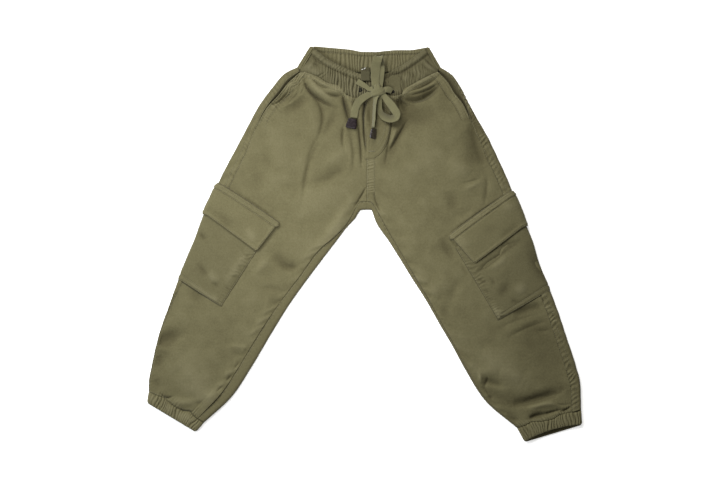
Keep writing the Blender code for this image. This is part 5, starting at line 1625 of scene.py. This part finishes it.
class Shader:
    """Short hands for a node tree round one Principled shader."""

    def __init__(self, name):
        self.material = bpy.data.materials.new(name)
        self.material.use_nodes = True
        self.tree = self.material.node_tree
        self.surface = self.tree.nodes["Principled BSDF"]
        self.place = self.add("ShaderNodeTexCoord").outputs["Object"]

    def add(self, kind, **settings):
        node = self.tree.nodes.new(kind)
        for key, value in settings.items():
            if key in node.inputs:
                node.inputs[key].default_value = value
            else:
                setattr(node, key, value)
        return node

    def join(self, source, target):
        self.tree.links.new(source, target)

    def feed(self, name, source):
        self.join(source, self.surface.inputs[name])

    def settle(self, **values):
        """Plain values on the shader's own sockets; an underscore stands for a space."""
        for name, value in values.items():
            self.surface.inputs[name.replace("_", " ")].default_value = value

    def speckle(self, value, amount):
        """A noise of 0 to 1 made a swing about 0."""
        return self.math("MULTIPLY", self.math("SUBTRACT", value, 0.5), amount)

    def noise(self, scale, detail=3.0, where=None):
        node = self.add("ShaderNodeTexNoise", Scale=scale, Detail=detail)
        self.join(where or self.place, node.inputs["Vector"])
        return node.outputs["Fac"]

    def math(self, operation, first, second):
        node = self.add("ShaderNodeMath", operation=operation)
        for socket, value in zip(node.inputs, (first, second)):
            if isinstance(value, (int, float)):
                socket.default_value = value
            else:
                self.join(value, socket)
        return node.outputs[0]

    def between(self, factor, low, high):
        """Mix of two colours by a factor of 0 to 1."""
        node = self.add("ShaderNodeMix", data_type="RGBA")
        for socket, value in ((node.inputs["Factor"], factor), (node.inputs[6], low), (node.inputs[7], high)):
            if isinstance(value, tuple):
                socket.default_value = (*value, 1)
            else:
                self.join(value, socket)
        return node.outputs[2]

    def spread(self, value, low, high, to_low=0.0, to_high=1.0):
        node = self.add("ShaderNodeMapRange")
        for name, number in (("From Min", low), ("From Max", high), ("To Min", to_low), ("To Max", to_high)):
            node.inputs[name].default_value = number
        self.join(value, node.inputs["Value"])
        return node.outputs["Result"]

    def attribute(self, name, output="Fac"):
        return self.add("ShaderNodeAttribute", attribute_name=name).outputs[output]

    def stripes(self, scale, turn, where=None):
        """Fine lines, this many a metre, turned about Z."""
        mapping = self.add("ShaderNodeMapping")
        mapping.inputs["Rotation"].default_value = (0, 0, np.radians(turn))
        self.join(where or self.place, mapping.inputs["Vector"])
        wave = self.add("ShaderNodeTexWave", Scale=scale, Distortion=1.2, Detail=1.0)
        wave.inputs["Detail Scale"].default_value = 2.0
        self.join(mapping.outputs["Vector"], wave.inputs["Vector"])
        return wave.outputs["Fac"]

    def bump(self, value, strength, metres, under=None):
        node = self.add("ShaderNodeBump", Strength=strength, Distance=metres)
        self.join(value, node.inputs["Height"])
        if under is not None:
            self.join(under, node.inputs["Normal"])
        return node.outputs["Normal"]


WAVE_TURN = 2 * np.pi / 20      # a wave texture of scale 1 has this many units a line


def dimmed(colour, tone):
    return tuple(channel * tone for channel in colour)


def twill(name, tone=1.0):
    """Cotton twill with garment dye: diagonal ribs and mottled dye; crests lighter, as wear and as painted
    light on ridges, troughs darker as painted shade. A tone below 1 makes a darker copy, painted shade.
    """
    s = Shader(name)
    relief = s.attribute("relief")
    crest = s.spread(relief, -RELIEF_SCALE, RELIEF_SCALE)
    patchy = s.noise(38.0, 4.0)
    fine = s.noise(330.0, 3.0)
    heather = s.noise(1500.0, 1.0)
    # Crests and troughs of the relief plus noise: the troughs are painted shade, the crests wear on seams and
    # painted light on ridges.
    wear_and_shade_level = s.math("ADD", crest, s.speckle(patchy, 0.20))
    wear_and_shade_level = s.math("ADD", wear_and_shade_level, s.speckle(fine, 0.60))
    low = s.between(s.spread(wear_and_shade_level, 0.0, 0.5), dimmed(CLOTH_SHADE, tone), dimmed(CLOTH, tone))
    wear_and_shade = s.between(s.spread(wear_and_shade_level, 0.5, 1.05), low, dimmed(CLOTH_WORN_AND_LIT, tone))
    lines = s.stripes(1000 * WAVE_TURN / 1.1, 52)
    thread = s.math("MULTIPLY", s.math("ADD", lines, heather), 0.5)
    shade = s.spread(thread, 0.25, 0.75, 0.90, 1.07)
    scaled = s.add("ShaderNodeVectorMath", operation="SCALE")
    s.join(wear_and_shade, scaled.inputs[0])
    s.join(shade, scaled.inputs["Scale"])
    s.feed("Base Color", scaled.outputs["Vector"])
    s.settle(Roughness=0.86, Specular_IOR_Level=0.2, Sheen_Weight=0.06, Sheen_Roughness=0.45)
    coarse = s.bump(fine, 0.35, 0.0007)
    s.feed("Normal", s.bump(thread, 0.55, 0.00035, coarse))
    return s.material


def woven_tape(name):
    """Flat cotton tape: chevron weave along its run, paler and smoother than the twill."""
    s = Shader(name)
    place = s.attribute("weave", "Vector")
    chevron = s.stripes(WAVE_TURN / 1.3, 35, place)
    cross = s.stripes(WAVE_TURN / 1.0, 90, place)
    grain = s.noise(900.0, 2.0)
    weave = s.math("MULTIPLY", s.math("ADD", chevron, s.math("ADD", cross, grain)), 0.333)
    tone = s.math("ADD", s.spread(weave, 0.2, 0.8), s.speckle(s.noise(60.0), 0.8))
    # The relief carries the painted shade; TAPE_SHADED is its colour.
    shaded = s.spread(s.attribute("relief"), 0.0, -1.6)
    s.feed("Base Color", s.between(shaded, s.between(tone, TAPE_DEEP, TAPE_COLOUR), TAPE_SHADED))
    s.settle(Roughness=0.82, Specular_IOR_Level=0.3, Sheen_Weight=0.15)
    s.feed("Normal", s.bump(weave, 0.6, 0.0004))
    return s.material


def thread_cotton(name):
    s = Shader(name)
    tone = s.spread(s.noise(700.0, 2.0), 0.3, 0.7)
    s.feed("Base Color", s.between(tone, CLOTH, THREAD_COLOUR))
    s.settle(Roughness=0.6)
    s.feed("Normal", s.bump(s.stripes(1000 * WAVE_TURN / 0.5, 30), 0.4, 0.0002))
    return s.material


def plain_thread(name, colour):
    """A close plain weave of one colour."""
    s = Shader(name)
    grain = s.math("MULTIPLY", s.math("ADD", s.stripes(1000 * WAVE_TURN / 0.9, 0),
                                      s.stripes(1000 * WAVE_TURN / 0.9, 90)), 0.5)
    s.feed("Base Color", s.between(grain, dimmed(colour, 0.85), colour))
    s.settle(Roughness=0.95, Specular_IOR_Level=0.1)
    s.feed("Normal", s.bump(grain, 0.4, 0.0003))
    return s.material


def moulded(name, colour, roughness, coat):
    s = Shader(name)
    grime = s.noise(260.0, 3.0)
    pale = tuple(channel * 2.2 + 0.004 for channel in colour)
    s.feed("Base Color", s.between(s.spread(grime, 0.45, 0.8), colour, pale))
    s.feed("Roughness", s.spread(grime, 0.3, 0.7, roughness * 0.8, roughness * 1.25))
    s.settle(Specular_IOR_Level=0.16, Coat_Weight=coat, Coat_Roughness=0.18)
    s.feed("Normal", s.bump(grime, 0.15, 0.0002))
    return s.material


def plain_floor(name):
    s = Shader(name)
    faint = s.spread(s.noise(3.0), 0.3, 0.7)
    s.feed("Base Color", s.between(faint, (0.93, 0.93, 0.93), (0.95, 0.95, 0.95)))
    s.settle(Roughness=0.9, Specular_IOR_Level=0.1, Emission_Color=(1, 1, 1, 1), Emission_Strength=0.5)
    return s.material


def dress(piece, material):
    piece.data.materials.clear()
    piece.data.materials.append(material)


# ---------------------------------------------------------------- the stage
SCALE_AT_CLOTH = 1.7            # millimetres of cloth across one pixel of the picture
PICTURE_WIDTH = 720
CAMERA_HEIGHT = 2200.0
CLOTH_LEVEL = 10.0
VIEW_CENTRE = (-7.65, 5.95)
SENSOR = 36.0


def camera():
    data = bpy.data.cameras.new("camera")
    data.sensor_width = SENSOR
    data.lens = SENSOR * (CAMERA_HEIGHT - CLOTH_LEVEL) / (PICTURE_WIDTH * SCALE_AT_CLOTH)
    data.clip_end = 20
    made = bpy.data.objects.new("camera", data)
    made.location = Vector((*VIEW_CENTRE, CAMERA_HEIGHT)) * MM
    bpy.context.scene.collection.objects.link(made)
    bpy.context.scene.camera = made


Lamp = namedtuple("Lamp", "name x y z size energy colour")
LAMPS = (
    Lamp("key", -520, 1400, 1400, 1100, 44, (1.0, 0.99, 0.96)),
    Lamp("side", -1300, 200, 900, 900, 17, (0.90, 0.95, 1.0)),
    Lamp("overhead", -120, 20, 420, 220, 1.6, (0.98, 0.99, 1.0)),
)
AMBIENT = 0.21


def lights():
    for lamp in LAMPS:
        data = bpy.data.lights.new(lamp.name, "AREA")
        data.size = lamp.size * MM
        data.energy = lamp.energy
        data.color = lamp.colour
        made = bpy.data.objects.new(lamp.name, data)
        made.location = Vector((lamp.x, lamp.y, lamp.z)) * MM
        made.rotation_euler = (-made.location).to_track_quat("-Z", "Y").to_euler()
        bpy.context.scene.collection.objects.link(made)
    world = bpy.data.worlds.new("studio")
    world.use_nodes = True
    world.node_tree.nodes["Background"].inputs["Color"].default_value = (1, 0.99, 0.95, 1)
    world.node_tree.nodes["Background"].inputs["Strength"].default_value = AMBIENT
    bpy.context.scene.world = world
    bpy.context.scene.view_settings.view_transform = "Standard"


def floor():
    bpy.ops.mesh.primitive_plane_add(size=12, location=(0, 0, -0.0004))
    made = bpy.context.object
    made.name = "floor"
    dress(made, plain_floor("floor_pale"))


def declare(piece, node, material):
    """Material, body and replaced node of one cloth piece."""
    dress(piece, material)
    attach(piece, "root")
    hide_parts(node)


def sewn(needle, name, material):
    made = needle.finish(name)
    dress(made, material)
    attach(made, "root")
    return made


def offset_waist(drop, start, end):
    """A line this far below the waist seam, between two places across."""
    xs = np.linspace(start, end, 60)
    return np.stack([xs, seam_y(xs) - drop], axis=1)


def dressed_front(side, rows, seed, cloth, thread):
    piece, plan, from_inner, from_outer, at = front("front_%s_cloth" % side, rows, seed)
    needle = Needle(piece)
    ends = sorted((plan[0, 3, 0], plan[0, -3, 0]))
    for drop in WAIST_ROWS:
        needle.row(offset_waist(drop, *ends))
    for inset in (MOUTH_ROW, HEM_WIDTH):
        needle.row(inset_line(plan, from_outer, inset, at < MOUTH_STATION))
    if side == "left":
        for inset in CROTCH_ROWS:
            crotch = (at > CROTCH_STATIONS[0]) & (at < CROTCH_STATIONS[1])
            needle.row(inset_line(plan, from_inner, inset, crotch), CROTCH_PITCH)
    above_cuff = (plan[-3] + plan[-4]) / 2
    needle.row(above_cuff[2:-2])
    stitched = sewn(needle, "front_%s_stitches" % side, thread)
    declare(piece, "front_" + side, cloth)


def dressed_back(side, rows, seed, cloth, thread):
    piece, at, seam, side_normal, front_edge, out = back("back_%s_cloth" % side, rows, seed)
    needle = Needle(piece)
    wide = column(rows, "strip", at)
    needle.row(seam - side_normal * STRIP_ROW)
    needle.row((seam - side_normal * FELLED_ROW)[wide > WIDE_STRIP])
    needle.row((front_edge + out * STRIP_ROW)[at > CROTCH + 0.3])
    stitched = sewn(needle, "back_%s_stitches" % side, thread)
    declare(piece, "back_" + side, cloth)


def dressed_patch(kind, side, rows, patch, seed, cloth, thread):
    if kind == "pocket":
        make, top, bottom = cargo_pocket, (), (PATCH_ROW, POCKET_HEM)
    else:
        make, top, bottom = cargo_flap, (2.0, HEADER / 2, HEADER), (PATCH_ROW,)
    piece, plans, insets, length = make("cargo_%s_%s_cloth" % (kind, side), rows, patch, seed)
    needle = Needle(piece)
    between_ends = (length > 1.5) & (length < length[-1] - 2)
    needle.row(inset_line(plans[:, WRAP_COLUMNS:], insets[:, WRAP_COLUMNS:], PATCH_ROW, between_ends))
    for from_top in [length[-1] - inset for inset in bottom] + list(top):
        row = np.abs(length - from_top).argmin()
        needle.row(plans[row, WRAP_COLUMNS - 3:-2])
    stitched = sewn(needle, "cargo_%s_%s_stitches" % (kind, side), thread)
    declare(piece, "cargo_%s_%s" % (kind, side), cloth)


def dressed_band_front(thread):
    band = waistband_front()
    needle = Needle(band)
    holes = [eyelet("eyelet_%d" % (number + 1), spot, needle) for number, spot in enumerate(EYELETS)]
    for hole in holes:
        dress(hole, moulded("eyelet_shadow", HOLE_COLOUR, 0.9, 0.0))
    band_thread = sewn(needle, "waistband_front_stitches", thread)
    # The band's copy of the twill is darkened: painted shade among its gathers.
    declare(band, "waistband_front", twill("olive_twill_band", 0.735))


def dressed_band_back(thread):
    back_band = waistband_back()
    needle = Needle(back_band)
    hem_x = np.linspace(WAIST[0].x + BACK_HEM_ENDS, WAIST[-1].x - BACK_HEM_ENDS, 70)
    needle.row(np.stack([hem_x, waist_table("back_y", hem_x) - BACK_HEM_ROW], axis=1))
    back_thread = sewn(needle, "waistband_back_stitches", thread)
    # The back run's copy of the twill is a little darker: painted shade.
    declare(back_band, "waistband_back", twill("olive_twill_back_band", 0.93))


def dressed_tab():
    tab = waist_tab()
    needle = Needle(tab)
    for x, y, turn in TAB_STITCHES:
        way = np.array([np.cos(np.radians(turn)), np.sin(np.radians(turn))])
        needle.thread(np.array([x, y]), way, length=3.6, radius=0.7)
    tab_thread = sewn(needle, "waist_tab_stitches", plain_thread("tab_thread", PALE_COLOUR))
    declare(tab, "waist_tab", plain_thread("tab_weave", TAB_COLOUR))


def dressed_fly(cloth, thread):
    fly, outline = fly_placket()
    needle = Needle(fly)
    for inset in FLY_ROWS:
        turned = outline + (FLY_MIDDLE - outline) * (inset / 30)
        needle.row(turned[6:88])
    needle.bartack(*FLY_TACK)
    fly_thread = sewn(needle, "fly_placket_stitches", thread)
    declare(fly, "fly_placket", cloth)


def dressed_cords():
    tape = woven_tape("khaki_tape")
    right_tip = cord_tip("cord_tip_right_piece", TIPS["cord_tip_right"])
    left_tip = cord_tip("cord_tip_left_piece", TIPS["cord_tip_left"])
    tied = knot()
    dress(right_tip, moulded("tip_lacquer", TIP_COLOUR, 0.42, 0.0))
    # The middle tip gets a paler copy of the lacquer colour: painted light.
    dress(left_tip, moulded("tip_lacquer_lit", TIP_LIT, 0.2, 1.0))
    dress(tied, tape)
    right_cord = cord("drawcord_right_tape", LEAD_RIGHT + TUCK_UP + LOOP_UP + TUCK_DOWN + TAIL_RIGHT,
                      ("drawcord_lead_right", "drawcord_loop_up", "drawcord_tail_right"))
    left_cord = cord("drawcord_left_tape", LEAD_LEFT + TUCK_SIDE + LOOP_SIDE + TUCK_UNDER + TAIL_LEFT,
                     ("drawcord_lead_left", "drawcord_loop_side", "drawcord_tail_left"))
    dress(right_cord, tape)
    dress(left_cord, tape)


def main():
    camera()
    lights()
    floor()
    cloth = twill("olive_twill")
    # A darker copy of the twill for the hip facings: painted shade in the pocket mouths.
    shaded = twill("olive_twill_shaded", 0.74)
    # The pockets' copy of the twill is a little darker: painted shade.
    patched = twill("olive_twill_pocket", 0.90)
    thread = thread_cotton("olive_thread")
    for side, rows, hem, pocket, flap, seed in (
            ("right", RIGHT_LEG, RIGHT_CUFF, RIGHT_POCKET, RIGHT_FLAP, 1.0),
            ("left", LEFT_LEG, LEFT_CUFF, LEFT_POCKET, LEFT_FLAP, 2.0)):
        dressed_front(side, rows, seed, cloth, thread)
        dressed_back(side, rows, seed, cloth, thread)
        facing = hip_facing("hip_facing_%s_cloth" % side, rows, seed)
        declare(facing, "hip_facing_" + side, shaded)
        ring = cuff("cuff_%s_cloth" % side, rows, hem, seed)
        declare(ring, "cuff_" + side, cloth)
        dressed_patch("pocket", side, rows, pocket, seed, patched, thread)
        dressed_patch("flap", side, rows, flap, seed, cloth, thread)
    dressed_band_front(thread)
    dressed_band_back(thread)
    dressed_tab()
    dressed_fly(cloth, thread)
    dressed_cords()


main()
